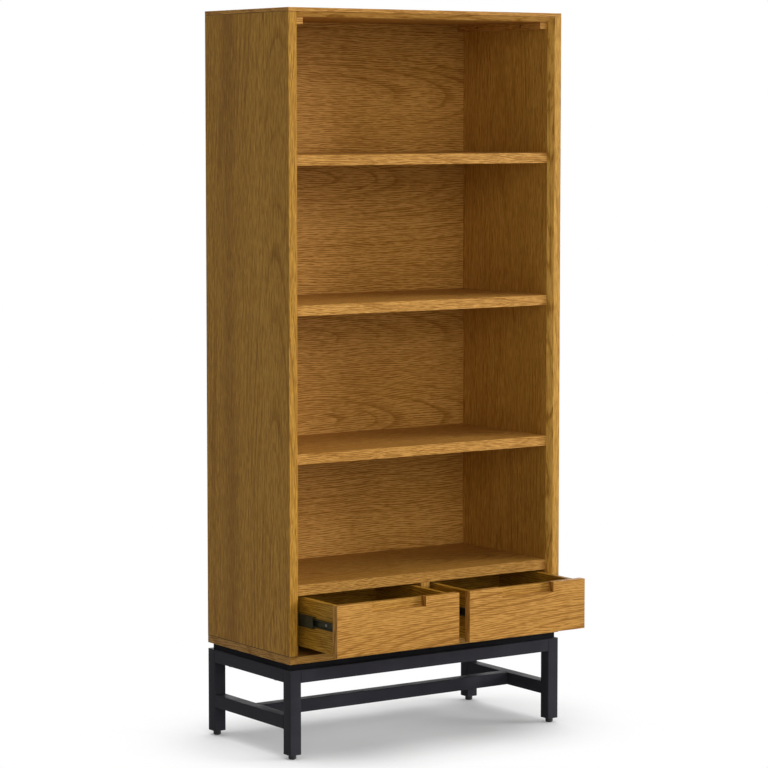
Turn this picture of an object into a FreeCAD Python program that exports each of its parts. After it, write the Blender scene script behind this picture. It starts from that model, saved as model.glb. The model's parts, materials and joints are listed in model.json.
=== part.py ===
import FreeCAD, Part
import math
import os
import re

import Sketcher

# A tall oak bookcase on a welded steel base: four fixed shelves, the lowest of them the deck
# over two drawers, which run side by side on three-member ball-bearing slides.
# Frame: X to the right, Y from the front to the back, Z up from the floor, millimetres.
# The origin is on the floor, at the middle of the plan that the bookcase covers with its
# drawers standing open.

doc = FreeCAD.newDocument("Bookcase")
sheet = doc.addObject("Spreadsheet::Sheet", "sizes")

SIZES = {
    "whole": {
        "overall_height": 1685,
        "carcass_width": 760,
        "carcass_depth": 356,
        "standing_open": 155,
    },
    "boards": {
        "side_thickness": 30,
        "side_flat": 19,
        "top_thickness": 20,
        "top_lip": 9,
        "bevel_depth": 13,
        "bottom_thickness": 18,
        "shelf_thickness": 24,
        "divider_thickness": 24,
        "housing_depth": 8,
        "housing_stop": 12,
        "back_thickness": 6,
        "back_rabbet_depth": 8,
        "back_rabbet_width": 10,
        "back_play": 0.5,
        "deck_height": 394,
        "lower_shelf_height": 690,
        "middle_shelf_height": 1024,
        "upper_shelf_height": 1359,
        "cleat_width": 19,
        "cleat_height": 17,
        "cleat_setback": 17,
    },
    "base": {
        "base_height": 204,
        "tube_size": 30,
        "tube_wall": 1.5,
        "tube_corner": 2.5,
        "stretcher_height": 98,
        "foot_height": 11,
        "foot_diameter": 18,
        "cap_thickness": 1.5,
        "plug_depth": 15,
        "plug_play": 0.2,
        "plinth_height": 14,
        "plinth_side_inset": 3,
        "plinth_front_inset": 12,
        "plinth_back_inset": 20,
    },
    "drawers": {
        "front_thickness": 18,
        "front_side_gap": 2.5,
        "front_top_gap": 2,
        "front_bottom_gap": 15,
        "pull_width": 147,
        "pull_height": 23,
        "box_length": 300,
        "box_wall": 12,
        "box_top_drop": 3,
        "box_bottom_rise": 2,
        "box_rabbet": 6,
        "floor_thickness": 5,
        "floor_rise": 9,
        "floor_groove": 6,
        "floor_play": 0.3,
    },
    "slides": {
        "slide_space": 12.7,
        "slide_length": 300,
        "slide_setback": 3,
        "slide_axis_height": 80,
        "web_thickness": 1.2,
        "flange_thickness": 1.4,
        "cabinet_member_height": 35,
        "cabinet_flange_reach": 9.5,
        "middle_member_offset": 2.2,
        "middle_flange_reach": 11,
        "drawer_flange_start": 5,
        "ball_diameter": 3.5,
        "raceway_play": 0.05,
        "raceway_depth": 0.3,
        "outer_ball_row": 5.5,
        "inner_ball_row": 8,
        "cage_length": 130,
        "cage_setback": 85,
        "cage_web": 0.4,
        "cage_flange": 0.8,
        "cage_gap": 0.3,
        "cage_reach": 2.6,
        "ball_window": 3.9,
        "ball_pitch": 45,
    },
    "fasteners": {
        "dowel_diameter": 8,
        "dowel_length": 30,
        "dowel_depth": 10,
        "dowel_inset": 60,
        "hole_play": 0.1,
        "base_bolt_diameter": 6,
        "base_bolt_head": 12,
        "base_bolt_head_height": 4,
        "base_bolt_bite": 12,
        "base_bolt_spacing": 98,
        "screw_diameter": 4,
        "screw_head": 7.5,
        "screw_head_height": 2,
        "screw_length": 25,
        "cleat_screw_inset": 40,
        "cleat_screw_recess": 5,
        "back_screw_length": 16,
        "front_screw_inset": 45,
        "front_screw_rise": 20,
        "slide_screw_length": 10,
        "slide_screw_head_height": 0.8,
        "first_slide_screw": 37,
        "last_slide_screw": 261,
    },
}

row = 0
for section, values in SIZES.items():
    row += 1
    sheet.set(f"A{row}", section)
    for alias, value in values.items():
        row += 1
        sheet.set(f"A{row}", alias)
        sheet.set(f"B{row}", str(value))
        sheet.setAlias(f"B{row}", alias)
doc.recompute()


def bound(formula):
    """Point each size named in a formula at its cell of the sheet."""
    return re.sub(r"[a-z][a-z_]+", lambda word: "sizes." + word.group(0), formula)


def number(formula):
    """Work a formula out."""
    return float(sheet.evalExpression(bound(formula)))


# ---------------------------------------------------------------------------------------
# Planes that several pieces share, as formulas of the sizes
# ---------------------------------------------------------------------------------------

OUTSIDE = "(carcass_width / 2)"
INSIDE = "(carcass_width / 2 - side_thickness)"
FRONT = "(-(carcass_depth + bevel_depth - standing_open) / 2)"
BACK = f"({FRONT} + carcass_depth)"
SHELF_FRONT = f"({FRONT} + bevel_depth)"
BACK_FACE = f"({BACK} - back_rabbet_depth)"
HOUSING_FRONT = f"({SHELF_FRONT} + housing_stop)"

PLINTH_TOP = "(base_height + plinth_height)"
FLOOR_TOP = f"({PLINTH_TOP} + bottom_thickness)"
DECK_UNDER = "(deck_height - shelf_thickness)"
TOP_UNDER = "(overall_height - top_thickness)"
LIP_UNDER = "(overall_height - top_lip)"
RAIL_UNDER = "(base_height - tube_size)"
LEG_BOTTOM = "(foot_height + cap_thickness)"

SHELVES = {
    "drawer_deck": "deck_height",
    "lower_shelf": "lower_shelf_height",
    "middle_shelf": "middle_shelf_height",
    "upper_shelf": "upper_shelf_height",
}

# Screws, bolts and dowels are many and small, so each is drawn with this many sides.
FASTENER_SIDES = 6

# Each sketch plane: its role in a body, the axes it draws along, and which way it faces.
PLANES = {"X": ("YZ_Plane", (1, 2), 1), "Y": ("XZ_Plane", (0, 2), -1), "Z": ("XY_Plane", (0, 1), 1)}


class Piece:
    """A body with a placement of its own, drawn on with places given in the whole frame."""

    def __init__(self, name, at):
        self.name = name
        self.at = at
        self.body = doc.addObject("PartDesign::Body", name)
        self.body.Label = name
        self.body.AllowCompound = True
        for axis, place in zip("xyz", at):
            self.body.setExpression(f"Placement.Base.{axis}", bound(place))

    def local(self, axis, place):
        """A place in the whole frame, counted from the body's own origin."""
        return f"(({place}) - ({self.at[axis]}))"

    def sketch(self, axis, level):
        """Start a sketch that faces along an axis, at a level on it."""
        role, _, facing = PLANES[axis]
        plane = next(item for item in self.body.Origin.OriginFeatures if item.Role == role)
        sketch = self.body.newObject("Sketcher::SketchObject", f"{self.name}_sketch")
        sketch.AttachmentSupport = [(plane, "")]
        sketch.MapMode = "FlatFace"
        depth = self.local("XYZ".index(axis), level)
        sketch.setExpression("AttachmentOffset.Base.z", bound(f"{facing} * {depth}"))
        return sketch

    def fix(self, sketch, geometry, point, place, axis):
        """Tie a sketch point to two formulas."""
        for kind, along, formula in zip(("DistanceX", "DistanceY"), PLANES[axis][1], place):
            formula = self.local(along, formula)
            rule = Sketcher.Constraint(kind, -1, 1, geometry, point, number(formula))
            sketch.setExpression(f"Constraints[{sketch.addConstraint(rule)}]", bound(formula))

    def outline(self, sketch, axis, corners):
        """Draw a closed straight-sided outline through corners given as pairs of formulas."""
        along = PLANES[axis][1]
        points = [
            FreeCAD.Vector(number(self.local(along[0], u)), number(self.local(along[1], v)), 0)
            for u, v in corners
        ]
        first = sketch.GeometryCount
        count = len(points)
        for index in range(count):
            sketch.addGeometry(Part.LineSegment(points[index], points[(index + 1) % count]))
        for index in range(count):
            following = first + (index + 1) % count
            sketch.addConstraint(Sketcher.Constraint("Coincident", first + index, 2, following, 1))
        for index, corner in enumerate(corners):
            self.fix(sketch, first + index, 1, corner, axis)

    def circles(self, sketch, axis, centres, diameter):
        """Draw equal circles round centres given as pairs of formulas."""
        along = PLANES[axis][1]
        for u, v in centres:
            centre = FreeCAD.Vector(number(self.local(along[0], u)), number(self.local(along[1], v)), 0)
            radius = number(diameter) / 2
            ring = sketch.addGeometry(Part.Circle(centre, FreeCAD.Vector(0, 0, 1), radius))
            self.fix(sketch, ring, 3, (u, v), axis)
            rule = sketch.addConstraint(Sketcher.Constraint("Diameter", ring, 2 * radius))
            sketch.setExpression(f"Constraints[{rule}]", bound(diameter))

    def extrude(self, kind, sketch, axis, low, high):
        """Add or cut what the sketch encloses, from the low level to the high one."""
        feature = self.body.newObject(f"PartDesign::{kind}", f"{self.name}_{kind.lower()}")
        feature.Profile = sketch
        feature.Reversed = (PLANES[axis][2] == 1) == (kind == "Pocket")
        feature.setExpression("Length", bound(f"({high}) - ({low})"))
        return feature

    def add(self, axis, low, high, *outlines):
        """Add the solid between two levels inside outlines; an inner outline is a hole."""
        sketch = self.sketch(axis, low)
        for corners in outlines:
            self.outline(sketch, axis, corners)
        return self.extrude("Pad", sketch, axis, low, high)

    def cut(self, axis, low, high, *outlines):
        """Cut away what lies between two levels inside outlines."""
        sketch = self.sketch(axis, low)
        for corners in outlines:
            self.outline(sketch, axis, corners)
        return self.extrude("Pocket", sketch, axis, low, high)

    def add_round(self, axis, low, high, centres, diameter):
        """Add equal round bars between two levels."""
        sketch = self.sketch(axis, low)
        self.circles(sketch, axis, centres, diameter)
        return self.extrude("Pad", sketch, axis, low, high)

    def bore(self, axis, low, high, centres, diameter):
        """Bore equal round holes between two levels."""
        sketch = self.sketch(axis, low)
        self.circles(sketch, axis, centres, diameter)
        return self.extrude("Pocket", sketch, axis, low, high)

    def add_shanks(self, axis, low, high, centres, diameter):
        """Add the shanks or heads of fasteners between two levels."""
        return self.add(axis, low, high, *[facets(centre, diameter) for centre in centres])

    def drill(self, axis, low, high, centres, diameter):
        """Drill the holes that fasteners of a diameter go in, with their play."""
        wider = f"({diameter} + 2 * hole_play)"
        return self.cut(axis, low, high, *[facets(centre, wider) for centre in centres])

    def edges(self, choose):
        """Names of the edges that a test picks from the body as it stands."""
        doc.recompute()
        shape = self.body.Tip.Shape
        return [f"Edge{index}" for index, edge in enumerate(shape.Edges, 1) if choose(edge)]

    def dress(self, kind, size, choose):
        """Fillet or chamfer the edges that a test picks."""
        names = self.edges(choose)
        base = self.body.Tip
        feature = self.body.newObject(f"PartDesign::{kind}", f"{self.name}_{kind.lower()}")
        feature.Base = (base, names)
        feature.setExpression("Radius" if kind == "Fillet" else "Size", bound(size))
        return feature


def rectangle(first, second):
    """The corners of a rectangle between two ranges of formulas."""
    return [(first[0], second[0]), (first[1], second[0]), (first[1], second[1]), (first[0], second[1])]


def squares(centres, size):
    """Equal squares round centres."""
    half = f"{size} / 2"
    return [rectangle((f"{x} - {half}", f"{x} + {half}"), (f"{y} - {half}", f"{y} + {half}"))
            for x, y in centres]


def facets(centre, diameter):
    """The even-sided outline that fits in a circle round a centre given as formulas."""
    corners = []
    for index in range(FASTENER_SIDES):
        angle = 2 * math.pi * (index + 0.5) / FASTENER_SIDES
        shares = (math.cos(angle), math.sin(angle))
        corners.append(tuple(f"{place} + {diameter} / 2 * ({share})" for place, share in zip(centre, shares)))
    return corners


def board(name, x, y, z):
    """A plain board between three ranges of formulas."""
    piece = Piece(name, (x[0], y[0], z[0]))
    piece.add("Z", z[0], z[1], rectangle(x, y))
    return piece


def lies_along(edge, direction, length):
    """Whether a straight edge runs along a direction for at least a length."""
    if edge.Curve.TypeId != "Part::GeomLine" or edge.Length < length:
        return False
    return abs(edge.Curve.Direction.dot(direction)) > 0.999


pieces = {}


def keep(piece):
    """List a finished piece under its own name."""
    pieces[piece.name] = piece.body
    return piece


# ---------------------------------------------------------------------------------------
# Where the fasteners stand, shared by each fastener and the holes that it goes in
# ---------------------------------------------------------------------------------------

SIDES = {"left": "-1", "right": "1"}
BAYS = {"left": (f"-{INSIDE}", "-divider_thickness / 2"), "right": ("divider_thickness / 2", INSIDE)}
AXIS = f"({FLOOR_TOP} + slide_axis_height)"
CLOSED_START = f"({SHELF_FRONT} + front_thickness + slide_setback)"
CLEAT_FRONT = f"({FRONT} + cleat_setback)"
CLEAT_UNDER = f"({TOP_UNDER} - cleat_height)"

DOWEL_SUNK = "(dowel_depth + hole_play)"
DOWEL_STANDING = "(dowel_length - dowel_depth + hole_play)"
BACK_SCREW_TIP = f"({BACK_FACE} + back_thickness - back_screw_length)"
CLEAT_SCREW_SEAT = f"({CLEAT_UNDER} + cleat_screw_recess)"
CLEAT_SIDE_SEAT = f"({INSIDE} - cleat_width + cleat_screw_recess)"
SLIDE_SCREW_SEAT = "(web_thickness - slide_screw_head_height)"
DRAWER_SCREW_SEAT = "(slide_space - web_thickness + slide_screw_head_height)"


def side_dowels(sign):
    """Where the dowels stand between a side panel and the bottom panel."""
    middle = f"{sign} * ({OUTSIDE} - side_thickness / 2)"
    return [(middle, f"{FRONT} + dowel_inset"), (middle, f"{BACK} - dowel_inset")]


DIVIDER_DOWELS = [("0", f"{SHELF_FRONT} + dowel_inset"), ("0", f"{BACK_FACE} - dowel_inset")]

BASE_BOLTS = [
    (f"{sign} * ({OUTSIDE} - tube_size / 2)", f"{FRONT} + carcass_depth / 2 + {step} * base_bolt_spacing")
    for sign in SIDES.values()
    for step in ("-1", "1")
]


def side_back_screws(sign):
    """Where screws hold the back panel to a side panel, halfway up each open compartment."""
    levels = [*SHELVES.values(), TOP_UNDER]
    middle = f"{sign} * ({INSIDE} + back_rabbet_width / 2)"
    return [(middle, f"({low} + {high}) / 2") for low, high in zip(levels, levels[1:])]


def shelf_back_screw(height):
    """Where a screw holds the back panel to a shelf."""
    return [("0", f"{height} - shelf_thickness / 2")]


def cleat_up_screws(sign):
    """Where screws rise through a cleat into the top panel."""
    middle = f"{sign} * ({INSIDE} - cleat_width / 2)"
    return [(middle, f"{CLEAT_FRONT} + cleat_screw_inset"), (middle, f"{BACK_FACE} - cleat_screw_inset")]


CLEAT_SIDE_SCREWS = [
    (f"{CLEAT_FRONT} + 2 * cleat_screw_inset", f"{TOP_UNDER} - cleat_height / 2"),
    (f"{BACK_FACE} - 2 * cleat_screw_inset", f"{TOP_UNDER} - cleat_height / 2"),
]


def sideways(sign, near, far):
    """The range along X between two distances from the middle, to the left or to the right."""
    return (near, far) if sign == "1" else (f"(-{far})", f"(-{near})")


def slide_sides(bay):
    """The face that each slide of a bay is fixed to, and the way from it to the drawer."""
    low, high = BAYS[bay]
    return [(low, "1"), (high, "-1")]


def out_from(side, reach):
    """The place a distance out from the face that a slide is fixed to."""
    face, way = side
    return f"({face} + {way} * ({reach}))"


def between(side, near, far):
    """The range along X between two distances out from the face that a slide is fixed to."""
    ends = (out_from(side, near), out_from(side, far))
    return ends if side[1] == "1" else ends[::-1]


def slide_screws(start):
    """Where the screws of one slide member stand, seen from its side."""
    return [(f"{start} + {step}", AXIS) for step in ("first_slide_screw", "last_slide_screw")]


def pilot_slide_screws(piece, side):
    """Drill a carcass piece for the screws of the cabinet member that is fixed to it."""
    tip = f"({SLIDE_SCREW_SEAT} - slide_screw_length - hole_play)"
    piece.drill("X", *between(side, tip, "0"), slide_screws(CLOSED_START), "screw_diameter")


# ---------------------------------------------------------------------------------------
# Carcass
# ---------------------------------------------------------------------------------------

def bevel_front_opening(piece):
    """Cut the sloping inner edge that runs round the carcass's open front, mitred at the corners."""
    wedge = piece.body.newObject("PartDesign::SubtractiveWedge", f"{piece.name}_bevel")
    outer_half = "(carcass_width / 2 - side_flat)"
    spans = {
        "Xmin": (0, f"-{outer_half}"),
        "Xmax": (0, outer_half),
        "X2min": (0, f"-{INSIDE}"),
        "X2max": (0, INSIDE),
        "Ymin": (1, FRONT),
        "Ymax": (1, SHELF_FRONT),
        "Zmin": (2, FLOOR_TOP),
        "Zmax": (2, LIP_UNDER),
        "Z2min": (2, FLOOR_TOP),
        "Z2max": (2, TOP_UNDER),
    }
    for side, (axis, place) in spans.items():
        value = piece.local(axis, place)
        setattr(wedge, side, number(value))
    for side, (axis, place) in spans.items():
        wedge.setExpression(side, bound(piece.local(axis, place)))


top = board("top_panel", (f"-{OUTSIDE}", OUTSIDE), (FRONT, BACK), (TOP_UNDER, "overall_height"))
for sign in SIDES.values():
    top.cut("Z", TOP_UNDER, LIP_UNDER, rectangle((f"{sign} * {INSIDE}", f"{sign} * {OUTSIDE}"), (FRONT, BACK)))
    top.drill("Z", TOP_UNDER, f"{CLEAT_SCREW_SEAT} + screw_length + hole_play", cleat_up_screws(sign),
              "screw_diameter")
top.cut("Z", TOP_UNDER, f"{TOP_UNDER} + back_rabbet_width",
        rectangle((f"-{INSIDE}", INSIDE), (BACK_FACE, BACK)))
bevel_front_opening(top)
keep(top)

for hand, sign in SIDES.items():
    inner = f"{sign} * {INSIDE}"
    rabbet = f"{sign} * ({INSIDE} + back_rabbet_width)"
    housing = f"{sign} * ({INSIDE} + housing_depth)"
    side = Piece(f"{hand}_side_panel", (inner, FRONT, FLOOR_TOP))
    side.add("Z", FLOOR_TOP, LIP_UNDER, rectangle((inner, f"{sign} * {OUTSIDE}"), (FRONT, BACK)))
    side.cut("Z", FLOOR_TOP, LIP_UNDER, rectangle((inner, rabbet), (BACK_FACE, BACK)))
    for height in SHELVES.values():
        side.cut("Z", f"{height} - shelf_thickness", height,
                 rectangle((inner, housing), (HOUSING_FRONT, BACK_FACE)))
    bevel_front_opening(side)
    side.drill("Z", FLOOR_TOP, f"{FLOOR_TOP} + {DOWEL_STANDING}", side_dowels(sign), "dowel_diameter")
    side.drill("Y", f"{BACK_SCREW_TIP} - hole_play", BACK_FACE, side_back_screws(sign), "screw_diameter")
    screw_end = f"({CLEAT_SIDE_SEAT} + screw_length + hole_play)"
    side.drill("X", *sideways(sign, INSIDE, screw_end), CLEAT_SIDE_SCREWS, "screw_diameter")
    outer_slide = slide_sides(hand)[0 if hand == "left" else 1]
    pilot_slide_screws(side, outer_slide)
    keep(side)

bottom = board("bottom_panel", (f"-{OUTSIDE}", OUTSIDE), (FRONT, BACK), (PLINTH_TOP, FLOOR_TOP))
bottom.drill("Z", f"{FLOOR_TOP} - {DOWEL_SUNK}", FLOOR_TOP,
             side_dowels("-1") + side_dowels("1") + DIVIDER_DOWELS, "dowel_diameter")
bottom.drill("Z", PLINTH_TOP, f"{PLINTH_TOP} + base_bolt_bite + hole_play", BASE_BOLTS, "base_bolt_diameter")
keep(bottom)

for name, height in SHELVES.items():
    under = f"({height} - shelf_thickness)"
    reach = f"({INSIDE} + housing_depth)"
    shelf = Piece(name, ("0", SHELF_FRONT, under))
    shelf.add("Z", under, height, [
        (f"-{INSIDE}", SHELF_FRONT),
        (INSIDE, SHELF_FRONT),
        (INSIDE, HOUSING_FRONT),
        (reach, HOUSING_FRONT),
        (reach, BACK_FACE),
        (f"-{reach}", BACK_FACE),
        (f"-{reach}", HOUSING_FRONT),
        (f"-{INSIDE}", HOUSING_FRONT),
    ])
    shelf.drill("Y", f"{BACK_SCREW_TIP} - hole_play", BACK_FACE, shelf_back_screw(height), "screw_diameter")
    if name == "drawer_deck":
        shelf.drill("Z", under, f"{under} + {DOWEL_SUNK}", DIVIDER_DOWELS, "dowel_diameter")
    keep(shelf)

divider = board("drawer_divider", ("-divider_thickness / 2", "divider_thickness / 2"),
                (SHELF_FRONT, BACK_FACE), (FLOOR_TOP, DECK_UNDER))
divider.drill("Z", FLOOR_TOP, f"{FLOOR_TOP} + {DOWEL_STANDING}", DIVIDER_DOWELS, "dowel_diameter")
divider.drill("Z", f"{DECK_UNDER} - {DOWEL_STANDING}", DECK_UNDER, DIVIDER_DOWELS, "dowel_diameter")
pilot_slide_screws(divider, slide_sides("left")[1])
pilot_slide_screws(divider, slide_sides("right")[0])
keep(divider)

BACK_HALF = f"({INSIDE} + back_rabbet_width - back_play)"
back = board("back_panel", (f"-{BACK_HALF}", BACK_HALF), (BACK_FACE, f"{BACK_FACE} + back_thickness"),
             (FLOOR_TOP, f"{TOP_UNDER} + back_rabbet_width - back_play"))
BACK_SCREWS = side_back_screws("-1") + side_back_screws("1")
for height in SHELVES.values():
    BACK_SCREWS += shelf_back_screw(height)
back.drill("Y", BACK_FACE, f"{BACK_FACE} + back_thickness", BACK_SCREWS, "screw_diameter")
keep(back)

back_screws = Piece("back_panel_screws", ("0", f"{BACK_FACE} + back_thickness", "0"))
back_screws.add_shanks("Y", f"{BACK_FACE} + back_thickness",
                       f"{BACK_FACE} + back_thickness + screw_head_height", BACK_SCREWS, "screw_head")
back_screws.add_shanks("Y", BACK_SCREW_TIP, f"{BACK_FACE} + back_thickness", BACK_SCREWS, "screw_diameter")
keep(back_screws)

# Each cleat stands in the corner under the top panel, with screws up into the top and out
# into the side, sunk below its faces.
cleat_screws = Piece("cleat_screws", ("0", CLEAT_FRONT, CLEAT_UNDER))
for hand, sign in SIDES.items():
    cleat = board(f"{hand}_top_cleat", (f"{sign} * {INSIDE}", f"{sign} * ({INSIDE} - cleat_width)"),
                  (CLEAT_FRONT, BACK_FACE), (CLEAT_UNDER, TOP_UNDER))
    cleat.drill("Z", CLEAT_UNDER, CLEAT_SCREW_SEAT, cleat_up_screws(sign), "screw_head")
    cleat.drill("Z", CLEAT_SCREW_SEAT, TOP_UNDER, cleat_up_screws(sign), "screw_diameter")
    mouth = f"({INSIDE} - cleat_width)"
    cleat.drill("X", *sideways(sign, mouth, CLEAT_SIDE_SEAT), CLEAT_SIDE_SCREWS, "screw_head")
    cleat.drill("X", *sideways(sign, CLEAT_SIDE_SEAT, INSIDE), CLEAT_SIDE_SCREWS, "screw_diameter")
    keep(cleat)

    cleat_screws.add_shanks("Z", f"{CLEAT_SCREW_SEAT} - screw_head_height", CLEAT_SCREW_SEAT,
                            cleat_up_screws(sign), "screw_head")
    cleat_screws.add_shanks("Z", CLEAT_SCREW_SEAT, f"{CLEAT_SCREW_SEAT} + screw_length",
                            cleat_up_screws(sign), "screw_diameter")
    head = (f"({CLEAT_SIDE_SEAT} - screw_head_height)", CLEAT_SIDE_SEAT)
    shank = (CLEAT_SIDE_SEAT, f"({CLEAT_SIDE_SEAT} + screw_length)")
    cleat_screws.add_shanks("X", *sideways(sign, *head), CLEAT_SIDE_SCREWS, "screw_head")
    cleat_screws.add_shanks("X", *sideways(sign, *shank), CLEAT_SIDE_SCREWS, "screw_diameter")
keep(cleat_screws)

dowels = Piece("wood_dowels", ("0", "0", FLOOR_TOP))
dowels.add_shanks("Z", f"{FLOOR_TOP} - dowel_depth", f"{FLOOR_TOP} - dowel_depth + dowel_length",
                  side_dowels("-1") + side_dowels("1") + DIVIDER_DOWELS, "dowel_diameter")
dowels.add_shanks("Z", f"{DECK_UNDER} + dowel_depth - dowel_length", f"{DECK_UNDER} + dowel_depth",
                  DIVIDER_DOWELS, "dowel_diameter")
keep(dowels)

# ---------------------------------------------------------------------------------------
# Steel base
# ---------------------------------------------------------------------------------------

AXES = {"X": FreeCAD.Vector(1, 0, 0), "Y": FreeCAD.Vector(0, 1, 0), "Z": FreeCAD.Vector(0, 0, 1)}


def tube(name, axis, run, first, second, capped=False):
    """A square tube along an axis, between two levels and two ranges across it.

    A capped one is closed at its upper end by a plate welded into it, as thick as its wall.
    """
    wall = "tube_wall"
    origin = {0: run[0], 1: run[0], 2: run[0]}
    across = PLANES[axis][1]
    origin[across[0]] = first[0]
    origin[across[1]] = second[0]
    piece = Piece(name, (origin[0], origin[1], origin[2]))
    bore = rectangle((f"{first[0]} + {wall}", f"{first[1]} - {wall}"),
                     (f"{second[0]} + {wall}", f"{second[1]} - {wall}"))
    piece.add(axis, run[0], run[1], rectangle(first, second), bore)
    if capped:
        piece.add(axis, f"{run[1]} - {wall}", run[1], bore)
    corners = [number(piece.local(across[0], first[0])), number(piece.local(across[0], first[1]))]

    def outer_corner(edge):
        where = edge.CenterOfMass[across[0]]
        return lies_along(edge, AXES[axis], 1) and min(abs(where - side) for side in corners) < 0.01

    piece.dress("Fillet", "tube_corner", outer_corner)
    return keep(piece)


LEFT = (f"-{OUTSIDE}", f"-{OUTSIDE} + tube_size")
RIGHT = (f"{OUTSIDE} - tube_size", OUTSIDE)
NEAR = (FRONT, f"{FRONT} + tube_size")
FAR = (f"{BACK} - tube_size", BACK)
RAIL = (RAIL_UNDER, "base_height")
STRETCHER = ("stretcher_height - tube_size", "stretcher_height")

# The legs run up to the plinth and the rails are butted between them.
tube("base_front_rail", "X", (LEFT[1], RIGHT[0]), NEAR, RAIL)
tube("base_back_rail", "X", (LEFT[1], RIGHT[0]), FAR, RAIL)

for hand, x in (("left", LEFT), ("right", RIGHT)):
    rail = tube(f"base_{hand}_rail", "Y", (NEAR[1], FAR[0]), x, RAIL)
    own_bolts = [place for place in BASE_BOLTS if place[0].startswith(SIDES[hand] + " ")]
    rail.drill("Z", RAIL_UNDER, "base_height", own_bolts, "base_bolt_diameter")
    for along, y in (("front", NEAR), ("back", FAR)):
        tube(f"{along}_{hand}_leg", "Z", (LEG_BOTTOM, "base_height"), x, y, capped=True)
    tube(f"{hand}_stretcher", "Y", (NEAR[1], FAR[0]), x, STRETCHER)

MIDDLE = f"({FRONT} + carcass_depth / 2)"
tube("centre_stretcher", "X", (LEFT[1], RIGHT[0]),
     (f"{MIDDLE} - tube_size / 2", f"{MIDDLE} + tube_size / 2"), STRETCHER)

LEG_CENTRES = [
    (f"{sign} * ({OUTSIDE} - tube_size / 2)", place)
    for sign in SIDES.values()
    for place in (f"{FRONT} + tube_size / 2", f"{BACK} - tube_size / 2")
]


feet = Piece("leg_feet", ("0", "0", "0"))
feet.add_round("Z", "0", "foot_height", LEG_CENTRES, "foot_diameter")
feet.add("Z", "foot_height", LEG_BOTTOM, *squares(LEG_CENTRES, "tube_size"))
feet.add("Z", LEG_BOTTOM, f"{LEG_BOTTOM} + plug_depth",
         *squares(LEG_CENTRES, "(tube_size - 2 * tube_wall - 2 * plug_play)"))
keep(feet)

plinth = board("plinth_board", (f"-{OUTSIDE} + plinth_side_inset", f"{OUTSIDE} - plinth_side_inset"),
               (f"{FRONT} + plinth_front_inset", f"{BACK} - plinth_back_inset"), ("base_height", PLINTH_TOP))
plinth.drill("Z", "base_height", PLINTH_TOP, BASE_BOLTS, "base_bolt_diameter")
keep(plinth)

bolts = Piece("base_bolts", ("0", "0", RAIL_UNDER))
bolts.add_shanks("Z", f"{RAIL_UNDER} - base_bolt_head_height", RAIL_UNDER, BASE_BOLTS, "base_bolt_head")
bolts.add_shanks("Z", RAIL_UNDER, f"{PLINTH_TOP} + base_bolt_bite", BASE_BOLTS, "base_bolt_diameter")
keep(bolts)

# ---------------------------------------------------------------------------------------
# Drawer slides: each a cabinet member, a middle member and a drawer member, one inside
# the next, with a cage of balls between each two
# ---------------------------------------------------------------------------------------

RACEWAY = "(ball_diameter + 2 * raceway_play)"

# Half heights of the nested members, from the outside in. A ball stands in a groove of
# each neighbour, so two flat flanges lie a ball less two groove depths apart.
FLANGE_GAP = f"({RACEWAY} - 2 * raceway_depth)"
CABINET_HALF = "(cabinet_member_height / 2)"
CABINET_CLEAR = f"({CABINET_HALF} - flange_thickness)"
MIDDLE_HALF = f"({CABINET_CLEAR} - {FLANGE_GAP})"
MIDDLE_CLEAR = f"({MIDDLE_HALF} - flange_thickness)"
DRAWER_HALF = f"({MIDDLE_CLEAR} - {FLANGE_GAP})"
DRAWER_CLEAR = f"({DRAWER_HALF} - flange_thickness)"
OUTER_ROW = f"({CABINET_CLEAR} - {FLANGE_GAP} / 2)"
INNER_ROW = f"({MIDDLE_CLEAR} - {FLANGE_GAP} / 2)"


def channel(side, back, lips, web, outer, inner):
    """The section of a channel whose web stands at back and whose flanges end at lips."""
    def corner(reach, height):
        return (out_from(side, reach), f"{AXIS} + {height}")

    step = f"({back} + {web})"
    return [
        corner(back, f"(-{outer})"),
        corner(lips, f"(-{outer})"),
        corner(lips, f"(-{inner})"),
        corner(step, f"(-{inner})"),
        corner(step, inner),
        corner(lips, inner),
        corner(lips, outer),
        corner(back, outer),
    ]


def grooves(piece, side, row, height, start):
    """Roll the two raceways of a ball row along a member."""
    centres = [(out_from(side, row), f"{AXIS} + {way} * {height}") for way in ("-1", "1")]
    piece.bore("Y", start, f"{start} + slide_length", centres, RACEWAY)


cabinet_screws = Piece("cabinet_slide_screws", ("0", CLOSED_START, AXIS))
CABINET_SCREWS = slide_screws(CLOSED_START)

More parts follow.
